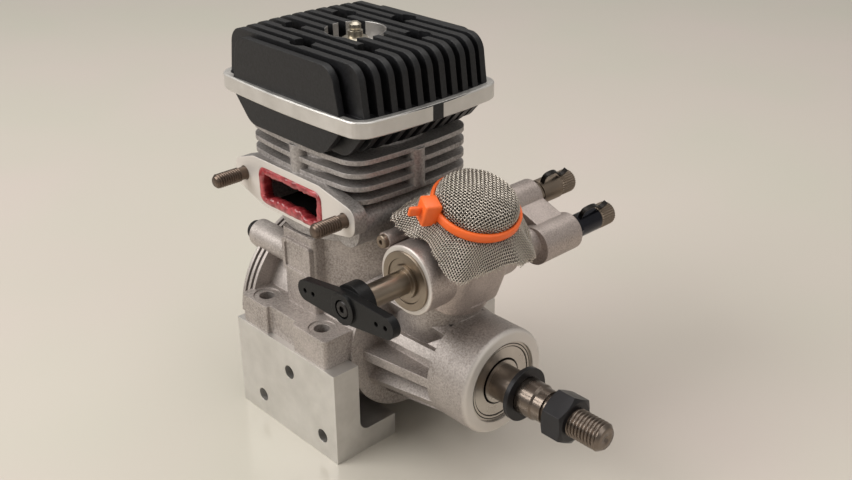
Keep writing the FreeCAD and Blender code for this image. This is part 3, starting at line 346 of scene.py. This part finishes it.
def machined_surface(name, color, roughness=0.3, edge=0.15, relief=0.012, metallic=1.0,
                     stretch=(1, 1, 1), wear=0.35, streaks=2.4, shaded_gap_rings=()):
    """Turned or milled metal: fine tool marks, faint smears and brighter edges.

    Each ring given last is a gap round the crankshaft, from one radius to another, darkened as painted shade.
    """
    made = Surface(name, color, roughness, metallic)
    marks = made.noise(streaks, 2.0, 0.5, stretch)
    smears = made.noise(0.12, 3.0)
    softened = made.round_edges(edge)
    bright = tuple(min(1.0, c * 1.35 + 0.02) for c in color[:3]) + (1.0,)
    dull = tuple(c * 0.84 for c in color[:3]) + (1.0,)
    body = made.mix(made.mask(smears, 0.3, 0.7), dull, color)
    edges = made.multiply(made.edge_mask(softened), wear)
    body = made.mix(edges, body, bright)
    # Painted shade: the gaps round the crankshaft are darkened
    for low, high in shaded_gap_rings:
        body = made.mix(made.ring(low, high), body, srgb(34, 30, 28))
    made.set("Base Color", body)
    rough = made.node("ShaderNodeMapRange", {"Value": smears, "From Min": 0.3, "From Max": 0.7,
                                             "To Min": roughness * 0.85, "To Max": roughness * 1.2})
    made.set("Roughness", rough.outputs["Result"])
    made.set("Normal", made.bump(marks, relief, softened))


def black_head_surface():
    """Black anodised casting, with bare walls in the glow plug's pocket."""
    made = Surface("black_head", srgb(14, 14, 16), 0.46)
    made.set("Specular IOR Level", 0.42)
    grains = made.noise(1.3, 4.0, 0.6)
    softened = made.round_edges(0.45)
    worn = made.multiply(made.edge_mask(softened), made.mask(made.noise(0.35, 2.0), 0.5, 0.8))
    satin = made.mix(made.mask(grains, 0.35, 0.7), srgb(10, 10, 12), srgb(26, 26, 29))
    painted = made.mix(made.multiply(worn, 0.4), satin, srgb(92, 91, 90))
    pocket = made.mask(made.from_axis(0, 1), POCKET_RADIUS * MM, (POCKET_RADIUS - 0.1) * MM)
    made.set("Base Color", made.mix(pocket, painted, srgb(196, 193, 190)))
    made.set("Metallic", pocket)
    made.set("Normal", made.bump(grains, 0.05, softened))


def plastic_surface(name, color, roughness, relief=0.02, speckle=None, specular=0.5):
    """Moulded plastic, or paper: a faint grain, and dust where a speckle colour is given."""
    made = Surface(name, color, roughness)
    made.set("Specular IOR Level", specular)
    grains = made.noise(2.2, 3.0)
    softened = made.round_edges(0.35)
    if speckle is not None:
        dust = made.mask(made.noise(1.9, 4.0, 0.7), 0.60, 0.70)
        made.set("Base Color", made.mix(made.multiply(dust, 0.6), color, speckle))
    made.set("Normal", made.bump(grains, relief, softened))


def sealant_surface():
    """Cured silicone: blotchy, lumpy and a little glossy."""
    made = Surface("red_sealant", srgb(170, 62, 64), 0.32)
    blotches = made.noise(0.5, 3.0)
    made.set("Base Color", made.mix(made.mask(blotches, 0.35, 0.65), srgb(128, 34, 40), srgb(184, 72, 76)))
    made.set("Normal", made.bump(made.noise(0.9, 3.0), 0.12))
    made.set("Coat Weight", 0.35)
    made.set("Coat Roughness", 0.2)


def make_materials():
    """One surface for each slot in the record."""
    light_cast, dark_cast = srgb(192, 184, 179), srgb(136, 128, 123)
    # Inside of the exhaust port, painted near black as painted shade
    port = ((-15.5, 13.0), (-27.0, -10.0), (44.3, 57.7))
    # Gaps between the bearings' rings and round the shaft, darkened as painted shade
    bearing_gap_shade = ((11.9, 12.25), (12.9, 13.25), (7.4, 8.0))
    cast_surface("cast_case", light_cast, dark_cast, bare=(0, 67.0, 68.2))
    cast_surface("cast_cylinder", srgb(184, 179, 176), srgb(128, 123, 120), grain=0.8, relief=0.06,
                 bare=(1, -28.5, -28.75), port_shade_box=port)
    cast_surface("cast_carburettor", srgb(194, 182, 176), srgb(148, 136, 130), grain=1.2, relief=0.05,
                 edge=0.5, roughness=0.42, bare=(1, -21.9, -22.15))
    machined_surface("machined_block", srgb(218, 215, 211), 0.40, 0.2, 0.006, stretch=(0.15, 1, 1),
                     streaks=3.0, metallic=0.85)
    black_head_surface()
    machined_surface("liner_steel", srgb(64, 58, 54), 0.45)
    plastic_surface("gasket_paper", srgb(70, 64, 58), 0.8)
    machined_surface("black_screw", srgb(46, 44, 44), 0.35, 0.15, metallic=0.7)
    machined_surface("oxidised_stud", srgb(112, 98, 88), 0.36, 0.1, 0.02, wear=0.9)
    sealant_surface()
    machined_surface("nickel_plug", srgb(198, 190, 174), 0.3)
    plastic_surface("plug_glass", srgb(214, 208, 196), 0.25)
    machined_surface("copper_washer", srgb(204, 196, 184), 0.35)
    machined_surface("bearing_steel", srgb(206, 200, 192), 0.3, shaded_gap_rings=bearing_gap_shade)
    machined_surface("ball_steel", srgb(215, 215, 215), 0.08)
    machined_surface("shaft_steel", srgb(128, 117, 108), 0.28, 0.12, 0.01, stretch=(3, 0.3, 0.3))
    machined_surface("black_oxide", srgb(40, 39, 41), 0.36, 0.25, 0.01, metallic=0.5, wear=0.5)
    machined_surface("piston_alloy", srgb(190, 188, 184), 0.3)
    machined_surface("ring_iron", srgb(120, 118, 116), 0.35)
    machined_surface("rod_alloy", srgb(188, 184, 176), 0.3)
    machined_surface("bush_bronze", srgb(190, 150, 96), 0.3)
    machined_surface("bronze_barrel", srgb(146, 134, 120), 0.34, 0.2, 0.012, stretch=(0.4, 3, 0.4))
    plastic_surface("black_nylon", srgb(10, 10, 11), 0.42, 0.03, speckle=srgb(66, 65, 64), specular=0.25)
    machined_surface("dark_knob", srgb(146, 132, 118), 0.42, 0.1, wear=0.6)
    machined_surface("black_seat", srgb(46, 47, 54), 0.22, metallic=0.8)
    machined_surface("spring_steel", srgb(40, 37, 35), 0.32, 0.1, metallic=0.8)
    machined_surface("steel_mesh", srgb(206, 197, 186), 0.3, 0.05, 0.004)
    plastic_surface("orange_nylon", srgb(252, 112, 44), 0.4, 0.012)


def dress(obj, material):
    """Gives an object one material."""
    obj.data.materials.clear()
    obj.data.materials.append(material)


# Mesh helpers
def new_piece(name, vertices, faces, body, slot, replaced=(), smooth=True):
    """A mesh piece in the row frame that rides on a body."""
    mesh = bpy.data.meshes.new(name)
    mesh.from_pydata([tuple(v) for v in vertices], [], faces)
    mesh.validate()
    obj = bpy.data.objects.new(name, mesh)
    bpy.context.scene.collection.objects.link(obj)
    fix = bmesh.new()
    fix.from_mesh(mesh)
    bmesh.ops.recalc_face_normals(fix, faces=fix.faces)
    fix.to_mesh(mesh)
    fix.free()
    mesh.polygons.foreach_set("use_smooth", [smooth] * len(mesh.polygons))
    dress(obj, MATERIALS[slot])
    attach(obj, body)
    if replaced:
        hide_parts(*replaced)
    return obj


def grid_faces(rows, columns, start=0, looped=False):
    """Quads between rings of points, where the last ring may join the first."""
    faces = []
    for i in range(rows if looped else rows - 1):
        here, following = start + i * columns, start + (i + 1) % rows * columns
        for j in range(columns):
            k = (j + 1) % columns
            faces.append((here + j, here + k, following + k, following + j))
    return faces


def frame_along(axis):
    """Two directions square to an axis."""
    axis = axis.normalized()
    helper = Vector((0, 0, 1)) if abs(axis.z) < 0.9 else Vector((1, 0, 0))
    first = axis.cross(helper).normalized()
    return first, axis.cross(first)


def revolved(origin, axis, levels, columns, radius_at, end_rows=()):
    """A closed body round an axis: radius_at(level, angle) in millimetres at each level.

    End rows are (level, radius) after the last level, such as a centre hole.
    """
    first, second = frame_along(axis)
    axis = axis.normalized()
    vertices = []
    rows = [(level, None) for level in levels] + list(end_rows)
    for level, fixed in rows:
        for j in range(columns):
            angle = 2 * math.pi * j / columns
            radius = radius_at(level, angle) if fixed is None else fixed
            out = first * math.cos(angle) + second * math.sin(angle)
            vertices.append(origin + (axis * level + out * radius) * MM)
    faces = grid_faces(len(rows), columns)
    for row, level in ((0, rows[0][0]), (len(rows) - 1, rows[-1][0])):
        vertices.append(origin + axis * level * MM)
        centre = len(vertices) - 1
        for j in range(columns):
            faces.append((row * columns + j, row * columns + (j + 1) % columns, centre))
    return vertices, faces


def thread_radius(level, angle, major, pitch, start, end, chamfer):
    """The radius of a screw thread that fades into a plain start and a chamfered end."""
    depth = THREAD_DEPTH_SHARE * pitch
    phase = (level / pitch - angle / (2 * math.pi)) % 1.0
    ridge = min(1.0, FLANK_STEEPNESS * (0.5 - abs(phase - 0.5)))
    radius = major - depth * (1 - ridge)
    if level < start:
        return major
    return min(radius, major - max(0.0, level - (end - chamfer)) * CHAMFER_SLOPE)


def merged(parts):
    """Several (vertices, faces) as one."""
    vertices, faces = [], []
    for part_vertices, part_faces in parts:
        offset = len(vertices)
        vertices += part_vertices
        faces += [tuple(i + offset for i in face) for face in part_faces]
    return vertices, faces


def steps(start, end, size):
    """Even levels from start to end, at most so far apart."""
    count = max(2, math.ceil((end - start) / size) + 1)
    return [start + (end - start) * i / (count - 1) for i in range(count)]


# Threaded pieces
def exhaust_studs():
    """Both studs, plain in the flange and at the shoulder, threaded outside."""
    low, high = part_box("exhaust_studs")
    reach = (high.y - low.y) / MM
    face = (high.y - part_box("cylinder")[0].y) / MM
    thread_start = face + STUD_SHOULDER
    parts = []

    def radius_at(level, angle):
        if face < level < thread_start:
            return STUD_SHOULDER_RADIUS
        return thread_radius(level, angle, STUD_RADIUS, STUD_PITCH, thread_start, reach, STUD_CHAMFER)

    for x in (low.x + STUD_RADIUS * MM, high.x - STUD_RADIUS * MM):
        origin = Vector((x, high.y, (low.z + high.z) / 2))
        levels = steps(0, reach, STUD_PITCH / 8)
        parts.append(revolved(origin, Vector((0, -1, 0)), levels, 36, radius_at))
    new_piece("stud_threads", *merged(parts), "engine", "oxidised_stud", ["exhaust_studs"])


def threaded_shaft():
    """The crankshaft as the CAD has it, up to the nut, and its threaded end from there."""
    source = frame["nodes"]["crankshaft"]
    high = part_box("crankshaft")[1]
    cut_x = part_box("shaft_nut")[0].x + SHAFT_CUT * MM
    mesh = source.data.copy()
    shape = bmesh.new()
    shape.from_mesh(mesh)
    everything = shape.verts[:] + shape.edges[:] + shape.faces[:]
    bmesh.ops.bisect_plane(shape, geom=everything, plane_co=(cut_x, 0, 0), plane_no=(1, 0, 0),
                           clear_outer=True)
    shape.to_mesh(mesh)
    shape.free()
    shaft = bpy.data.objects.new("shaft_plain", mesh)
    bpy.context.scene.collection.objects.link(shaft)
    dress(shaft, MATERIALS["shaft_steel"])
    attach(shaft, "crankshaft")
    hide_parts("crankshaft")
    length = (high.x - cut_x) / MM

    def radius_at(level, angle):
        return thread_radius(level, angle, SHAFT_THREAD_RADIUS, SHAFT_THREAD_PITCH, 0, length,
                             SHAFT_CHAMFER)

    levels = steps(0, length, SHAFT_THREAD_PITCH / 9)
    centre_hole = ((length, CENTRE_HOLE_RADIUS), (length - CENTRE_HOLE_DEPTH, CENTRE_HOLE_BOTTOM))
    vertices, faces = revolved(Vector((cut_x, 0, 0)), Vector((1, 0, 0)), levels, 48, radius_at, centre_hole)
    new_piece("shaft_thread", vertices, faces, "crankshaft", "shaft_steel")


# Needle knobs
def knob(name, joint_place, node):
    """A needle with its knurled, round-ended knob."""
    low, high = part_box(node)
    origin = Vector((joint_place.x, low.y, joint_place.z))
    total = (high.y - low.y) / MM
    face = total - KNOB_LENGTH

    def radius_at(level, angle):
        if level < face:
            return NEEDLE_RADIUS
        along = level - face
        ridge = 0.5 + 0.5 * math.cos(angle * KNURL_COUNT)
        end_round = max(0.0, along - (KNOB_LENGTH - KNOB_END_ROUND)) / KNOB_END_ROUND
        start_round = max(0.0, KNOB_START_ROUND - along)
        radius = KNOB_RADIUS - KNOB_END_DROP * end_round ** 2 - KNOB_START_DROP * start_round
        return radius - KNURL_DEPTH * (1 - ridge) * (1 - end_round)

    levels = [0, face - 0.001] + steps(face, total, 0.4)
    vertices, faces = revolved(origin, Vector((0, 1, 0)), levels, KNURL_COUNT * 6, radius_at)
    new_piece(name, vertices, faces, node, "dark_knob", [node])


def rounded_path(points, passes=2):
    """Cuts the corners of an open path, so that it bends smoothly."""
    for _ in range(passes):
        smooth = [points[0]]
        for (ay, az), (by, bz) in zip(points, points[1:]):
            smooth += [(ay * 0.75 + by * 0.25, az * 0.75 + bz * 0.25),
                       (ay * 0.25 + by * 0.75, az * 0.25 + bz * 0.75)]
        points = smooth + [points[-1]]
    return points


def ratchet_spring(name, axis_place, node, needle, collar):
    """A thin leaf that rises from the seat's collar, arches over it and rests above the knob."""
    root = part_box(node)[0].y / MM + SPRING_ROOT
    knob_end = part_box(needle)[1].y / MM
    face = knob_end - KNOB_LENGTH
    high = collar + SPRING_RISE
    over_knob = KNOB_RADIUS + SPRING_CLEARANCE
    path = [(root, collar - 0.3), (root - 0.2, high - 0.6), (root + SPRING_ARCH_START, high),
            (face - SPRING_ARCH_END, high - 0.2), (face - 0.4, over_knob), (face + SPRING_PAD, over_knob),
            (face + SPRING_TIP, over_knob + SPRING_TIP_RISE)]
    path = rounded_path(path)
    vertices = []
    for i, (y, up) in enumerate(path):
        before, after = path[max(i - 1, 0)], path[min(i + 1, len(path) - 1)]
        run, rise = after[0] - before[0], after[1] - before[1]
        length = math.hypot(run, rise)
        across_y, across_up = -rise / length, run / length
        for side, lift in ((-1, 0), (1, 0), (1, 1), (-1, 1)):
            offset = CARB_X * side * SPRING_WIDTH / 2 + CARB_Y * (y + across_y * lift * SPRING_THICKNESS)
            offset += CARB_Z * (up + across_up * lift * SPRING_THICKNESS)
            vertices.append(Vector((axis_place.x, 0, axis_place.z)) + offset * MM)
    faces = grid_faces(len(path), 4)
    last = len(vertices) - 4
    faces += [(0, 1, 2, 3), (last, last + 1, last + 2, last + 3)]
    new_piece(name, vertices, faces, "engine", "spring_steel", [node], smooth=False)


# Throttle barrel's face
def barrel_front():
    """The wide face that the barrel shows in its housing, with a turned groove."""
    columns = 96
    origin = BARREL - CARB_Y * HOUSING_FACE * MM
    vertices = []
    for level, radius in BARREL_FACE:
        for j in range(columns):
            angle = 2 * math.pi * j / columns
            out = CARB_X * math.cos(angle) + CARB_Z * math.sin(angle)
            vertices.append(origin + (out * radius - CARB_Y * level) * MM)
    faces = grid_faces(len(BARREL_FACE), columns, looped=True)
    new_piece("barrel_front", vertices, faces, "throttle", "bronze_barrel", smooth=False)


# Head
def bowed_outline(corner, middle, rounding):
    """Points and outward directions round a rectangle whose four sides bow outward."""
    outline = []
    spans = ((corner[0] - rounding, corner[1] - rounding, middle[1] - corner[1]),
             (corner[1] - rounding, corner[0] - rounding, middle[0] - corner[0]))
    for quarter in range(4):
        along, across, bow = spans[quarter % 2]
        turn = Matrix.Rotation(math.pi / 2 * quarter, 2)
        for i in range(BAND_SIDE_STEPS + 1):
            u = 2 * i / BAND_SIDE_STEPS - 1
            point = Vector((u * along, -across - bow * (1 - u * u)))
            outward = Vector((2 * bow * u / along, -1)).normalized()
            outline.append((turn @ point, turn @ outward))
        corner_point = turn @ Vector((along, -across))
        first = turn @ Vector((2 * bow / along, -1)).normalized()
        next_along, _, next_bow = spans[(quarter + 1) % 2]
        last = (Matrix.Rotation(math.pi / 2 * (quarter + 1), 2)
                @ Vector((-2 * next_bow / next_along, -1)).normalized())
        for i in range(1, BAND_CORNER_STEPS):
            outline.append((corner_point, first.lerp(last, i / BAND_CORNER_STEPS).normalized()))
    return [(point + outward * rounding, outward) for point, outward in outline]


def head_band():
    """The bare turned edge of the head's plate."""
    section = ((-BAND_WALL, BAND_LOW), (-BAND_EDGE, BAND_LOW), (0, BAND_LOW + BAND_EDGE),
               (0, BAND_HIGH - BAND_EDGE), (-BAND_EDGE, BAND_HIGH), (-BAND_WALL, BAND_HIGH))
    outline = bowed_outline(BAND_CORNER, BAND_MIDDLE, BAND_ROUND)
    vertices = []
    for point, outward in outline:
        for out, level in section:
            place = point + outward * out
            vertices.append(Vector((place.x, place.y, level)) * MM)
    faces = grid_faces(len(outline), len(section), looped=True)
    new_piece("head_band", vertices, faces, "engine", "machined_block", smooth=False)


# Filter
def cloth_reach(angle):
    """How far the cut square reaches from its centre in a direction, with clipped corners."""
    corner = abs(math.sin(2 * angle)) ** 1.6
    ragged = noise.noise(Vector((math.cos(angle) * 2.1, math.sin(angle) * 2.1, 0.4)))
    return CLOTH_MIDDLE + (CLOTH_CORNER - CLOTH_MIDDLE) * corner + CLOTH_RAGGED * ragged


def filter_surface(u, v):
    """Where a point of the flat cloth lies once it is pulled over the intake."""
    flat = math.hypot(u, v)
    angle = math.atan2(v, u)
    top = FILTER_SIDE - SHOULDER_RADIUS
    arc = SHOULDER_RADIUS * math.pi / 2
    rim_height = FILTER_TOP - TOP_DOME
    side = rim_height - SHOULDER_RADIUS - TIE_HEIGHT
    if flat <= top:
        radius = flat
        height = FILTER_TOP - TOP_DOME * (flat / top) ** 2
    elif flat <= top + arc:
        turn = (flat - top) / SHOULDER_RADIUS
        radius = top + SHOULDER_RADIUS * math.sin(turn)
        height = rim_height - SHOULDER_RADIUS * (1 - math.cos(turn))
    elif flat <= top + arc + side:
        down = flat - top - arc
        radius = FILTER_SIDE - SIDE_WAIST * (down / side) ** 2
        height = rim_height - SHOULDER_RADIUS - down
    else:
        out = flat - top - arc - side
        flare = SKIRT_SLOPE * min(1.0, out / SKIRT_BEND)
        radius = FILTER_SIDE - SIDE_WAIST + out * math.sin(flare) * SKIRT_SPREAD
        height = TIE_HEIGHT - out * math.cos(flare * SKIRT_SPREAD)
    on_side = min(1.0, max(0.0, flat - top - SIDE_PLEAT_START) / SIDE_PLEAT_REACH)
    on_skirt = min(1.0, max(0.0, flat - top - arc - side) / SKIRT_PLEAT_REACH) ** SKIRT_PLEAT_GROWTH
    pleat = sum(share * math.sin(count * angle + start) for count, start, share in PLEAT_WAVES)
    radius += pleat * (SIDE_PLEAT * on_side + SKIRT_PLEAT * on_skirt)
    height += CRUMPLE * noise.noise(Vector((u * CRUMPLES_PER_MM, v * CRUMPLES_PER_MM, 1.7)))
    return Vector((radius * math.cos(angle), radius * math.sin(angle), height))


def filter_normal(u, v):
    """The way out of the cloth at a point of it."""
    here = filter_surface(u, v)
    tangent_u = filter_surface(u + TANGENT_STEP, v) - here
    tangent_v = filter_surface(u, v + TANGENT_STEP) - here
    return tangent_u.cross(tangent_v).normalized()


def wire_tube(points, normals):
    """A thin tube with a few sides along points."""
    vertices = []
    for i, point in enumerate(points):
        ahead = points[min(i + 1, len(points) - 1)] - points[max(i - 1, 0)]
        side = ahead.cross(normals[i]).normalized()
        up = side.cross(ahead).normalized()
        for j in range(WIRE_SIDES):
            angle = 2 * math.pi * j / WIRE_SIDES
            vertices.append(point + (side * math.cos(angle) + up * math.sin(angle)) * WIRE_RADIUS)
    faces = grid_faces(len(points), WIRE_SIDES)
    faces.append(tuple(range(WIRE_SIDES)))
    last = (len(points) - 1) * WIRE_SIDES
    faces.append(tuple(range(last, last + WIRE_SIDES)))
    return vertices, faces


def woven_wire(line, crosswise, row):
    """One wire of the weave: it passes over and under the wires that cross it."""
    points, normals, tubes = [], [], []
    fray = random.uniform(-FRAY, FRAY)
    half_count = int(CLOTH_CORNER / WIRE_PITCH) + 2
    for i in range(-half_count * SAMPLES_PER_PITCH, half_count * SAMPLES_PER_PITCH + 1):
        along = i * WIRE_PITCH / SAMPLES_PER_PITCH
        u, v = (line, along) if crosswise else (along, line)
        inside = math.hypot(u, v) < cloth_reach(math.atan2(v, u)) + fray
        if inside:
            normal = filter_normal(u, v)
            wave = math.cos(math.pi * (along / WIRE_PITCH - 0.5)) * (1 if row % 2 else -1)
            wave *= -1 if crosswise else 1
            points.append(filter_surface(u, v) + normal * wave * WIRE_RADIUS * WEAVE_SHARE)
            normals.append(normal)
        if points and (not inside or i == half_count * SAMPLES_PER_PITCH):
            if len(points) > 3:
                tubes.append(wire_tube(points, normals))
            points, normals = [], []
    return tubes


def filter_shade_sheet():
    """A dark sheet just under the woven wires: painted shade for the shadow between and under them."""
    rings, columns = 26, 96
    vertices = [filter_surface(0, 0) - Vector((0, 0, SHADE_SHEET_DEPTH))]
    for i in range(1, rings + 1):
        for j in range(columns):
            angle = 2 * math.pi * j / columns
            flat = (cloth_reach(angle) - SHADE_SHEET_MARGIN) * i / rings
            u, v = flat * math.cos(angle), flat * math.sin(angle)
            vertices.append(filter_surface(u, v) - filter_normal(u, v) * SHADE_SHEET_DEPTH)
    faces = [(0, 1 + j, 1 + (j + 1) % columns) for j in range(columns)]
    faces += grid_faces(rings, columns, start=1)
    shade_sheet = new_piece("filter_shade_sheet", [carb_point(*v) for v in vertices], faces, "engine", "steel_mesh")
    # Painted shade: a near-black sheet stands in for the shadow under the wires
    shade = Surface("steel_mesh_shade", srgb(40, 36, 32), 0.6, 0.4)
    dress(shade_sheet, shade.material)


def filter_mesh():
    """The cloth, woven of wires that cross each other."""
    tubes = []
    half_count = int(CLOTH_CORNER / WIRE_PITCH) + 1
    for crosswise in (False, True):
        for row in range(-half_count, half_count):
            line = (row + 0.5) * WIRE_PITCH
            tubes += woven_wire(line, crosswise, row)
    vertices, faces = merged(tubes)
    vertices = [carb_point(*v) for v in vertices]
    new_piece("filter_weave", vertices, faces, "engine", "steel_mesh", ["mesh_filter"])


# Tie round the filter
def filter_tie():
    """A strap of rounded section, its square buckle and the cut tail."""
    half, side = TIE_WIDTH / 2, TIE_THICKNESS - TIE_CROWN
    section = ((0, -half), (side, -half), (TIE_THICKNESS, -half + TIE_ROUND),
               (TIE_THICKNESS, half - TIE_ROUND), (side, half), (0, half))
    turns = 96
    vertices = []
    for i in range(turns):
        angle = 2 * math.pi * i / turns
        sag = TIE_SAG * math.sin(angle * 2 + 0.8)
        for out, up in section:
            radius = TIE_INNER + out
            vertices.append(carb_point(radius * math.cos(angle), radius * math.sin(angle),
                                       TIE_HEIGHT + up + sag))
    faces = grid_faces(turns, len(section), looped=True)
    new_piece("tie_strap", vertices, faces, "engine", "orange_nylon", ["zip_tie"])

    shape = bmesh.new()
    blocks = (((TIE_INNER + BUCKLE_OUT, 0, 0), BUCKLE_SIZE),
              ((TIE_INNER + TAIL_OUT, 0, TAIL_LIFT), TAIL_SIZE))
    for centre, size in blocks:
        made = bmesh.ops.create_cube(shape, size=1.0)
        bmesh.ops.scale(shape, vec=size, verts=made["verts"])
        bmesh.ops.translate(shape, vec=centre, verts=made["verts"])
    bmesh.ops.bevel(shape, geom=shape.edges[:], offset=BUCKLE_ROUND, segments=3, affect="EDGES",
                    profile=0.5)
    turn = Matrix.Rotation(BUCKLE_ANGLE, 4, "Z")
    points = [turn @ v.co + Vector((0, 0, TIE_HEIGHT)) for v in shape.verts]
    vertices = [carb_point(*p) for p in points]
    faces = [tuple(v.index for v in face.verts) for face in shape.faces]
    shape.free()
    new_piece("tie_buckle", vertices, faces, "engine", "orange_nylon")


# Sealant in the exhaust port
def port_bead():
    """An uneven bead squeezed out round the port, from the flange's face inward."""
    low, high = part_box("port_sealant")
    centre = (low + high) / 2
    half_x, half_z = (high.x - low.x) / 2 / MM, (high.z - low.z) / 2 / MM
    around, across = 160, 12
    vertices = []
    for i in range(around):
        place, inward = rectangle_point(i / around, half_x, half_z, BEAD_CORNER)
        seed = Vector((place[0] * 0.22, place[1] * 0.22, 3.1))
        width = BEAD_WIDTH + 1.2 * noise.noise(seed) + 0.7 * noise.noise(seed * 3.3)
        proud = BEAD_PROUD + 0.5 * noise.noise(seed * 2.1)
        for j in range(across):
            angle = math.pi * 2 * j / across
            inward_by = -BEAD_OVERLAP + width * (0.5 - 0.5 * math.cos(angle))
            depth = math.sin(angle) * (proud if math.sin(angle) > 0 else BEAD_DEPTH)
            x = place[0] + inward[0] * inward_by
            z = place[1] + inward[1] * inward_by
            y = low.y - (depth - BEAD_SETBACK) * MM
            vertices.append(Vector((centre.x + x * MM, y, centre.z + z * MM)))
    faces = grid_faces(around, across, looped=True)
    new_piece("port_bead", vertices, faces, "engine", "red_sealant", ["port_sealant"])


def rectangle_point(share, half_x, half_z, rounding):
    """A point on a rounded rectangle at a share of its way round, and the way inward."""
    side_x, side_z = half_x - rounding, half_z - rounding
    quarter = math.pi / 2 * rounding
    travelled = share * (4 * side_x + 4 * side_z + 4 * quarter)
    # Each corner's centre, the angle at which its arc starts, and the straight that follows the arc
    turns = (((side_x, side_z), 0, 2 * side_x), ((-side_x, side_z), 90, 2 * side_z),
             ((-side_x, -side_z), 180, 2 * side_x), ((side_x, -side_z), 270, 2 * side_z))
    for (x, z), start, straight in turns:
        if travelled <= quarter:
            angle = math.radians(start) + travelled / rounding
            out = (math.cos(angle), math.sin(angle))
            return (x + out[0] * rounding, z + out[1] * rounding), (-out[0], -out[1])
        travelled -= quarter
        if travelled <= straight:
            angle = math.radians(start + 90)
            out = (math.cos(angle), math.sin(angle))
            step = (math.cos(angle + math.pi / 2), math.sin(angle + math.pi / 2))
            return ((x + out[0] * rounding + step[0] * travelled,
                     z + out[1] * rounding + step[1] * travelled), (-out[0], -out[1]))
        travelled -= straight
    return (half_x, 0), (-1, 0)


# Setting
def add_camera():
    """The camera that took the photograph."""
    data = bpy.data.cameras.new("camera")
    data.lens = CAMERA_LENS
    data.sensor_width = SENSOR_WIDTH
    data.clip_start = 0.01
    camera = bpy.data.objects.new("camera", data)
    bpy.context.scene.collection.objects.link(camera)
    forward = (CAMERA_TARGET - CAMERA_PLACE).normalized()
    right = forward.cross(Vector((0, 0, 1))).normalized()
    up = right.cross(forward)
    tilt = Matrix.Rotation(CAMERA_ROLL, 3, -forward)
    right, up = tilt @ right, tilt @ up
    rotation = Matrix((right, up, -forward)).transposed().to_4x4()
    camera.matrix_world = Matrix.Translation(CAMERA_PLACE) @ rotation
    bpy.context.scene.camera = camera


def add_light(name, place, power, size):
    """A soft, slightly warm rectangle of light, aimed at the engine."""
    data = bpy.data.lights.new(name, "AREA")
    data.shape = "RECTANGLE"
    data.size, data.size_y = size
    data.energy = power
    data.color = (1.0, 0.985, 0.96)
    light = bpy.data.objects.new(name, data)
    bpy.context.scene.collection.objects.link(light)
    light.location = place
    aim = LIGHT_TARGET - light.location
    light.rotation_euler = aim.to_track_quat("-Z", "Y").to_euler()


def add_floor():
    """The pale floor under the blocks."""
    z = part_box("mount_block_left")[0].z
    mesh = bpy.data.meshes.new("floor")
    places = [(x * FLOOR_REACH, y * FLOOR_REACH, z) for x, y in ((-1, -1), (1, -1), (1, 1), (-1, 1))]
    mesh.from_pydata(places, [], [(0, 1, 2, 3)])
    floor = bpy.data.objects.new("floor", mesh)
    bpy.context.scene.collection.objects.link(floor)
    made = Surface("floor", srgb(196, 192, 181), 0.16)
    cloud = made.noise(0.006, 2.0)
    made.set("Base Color", made.mix(made.mask(cloud, 0.3, 0.7), srgb(207, 196, 188), srgb(201, 197, 184)))
    made.set("Specular IOR Level", 0.5)
    dress(floor, made.material)


def set_light():
    """An even room, a window behind the camera, and weaker light from the right and above."""
    world = bpy.data.worlds.new("soft_room")
    bpy.context.scene.world = world
    world.use_nodes = True
    background = world.node_tree.nodes["Background"]
    background.inputs["Color"].default_value = srgb(226, 222, 216)
    background.inputs["Strength"].default_value = 0.42
    add_light("window", place=Vector((-0.45, -0.95, 0.8)), power=13, size=(0.9, 0.7))
    add_light("room_right", place=Vector((1.1, 0.1, 0.7)), power=2.5, size=(0.8, 0.8))
    add_light("ceiling", place=Vector((-0.1, 0.2, 1.2)), power=9, size=(1.2, 1.2))


make_materials()
SLOTS = {part["node"]: part["material_slot"] for part in frame["record"]["subparts"]}
for node_name, node_object in frame["nodes"].items():
    dress(node_object, MATERIALS[SLOTS[node_name]])

exhaust_studs()
threaded_shaft()
knob("main_knob", MAIN_NEEDLE, "main_needle")
knob("idle_knob", IDLE_NEEDLE, "idle_needle")
ratchet_spring("main_leaf", MAIN_NEEDLE, "main_ratchet_spring", "main_needle", MAIN_COLLAR)
ratchet_spring("idle_leaf", IDLE_NEEDLE, "idle_ratchet_spring", "idle_needle", IDLE_COLLAR)
barrel_front()
head_band()
filter_mesh()
filter_shade_sheet()
filter_tie()
port_bead()

add_camera()
add_floor()
set_light()
bpy.context.scene.view_settings.view_transform = "Standard"
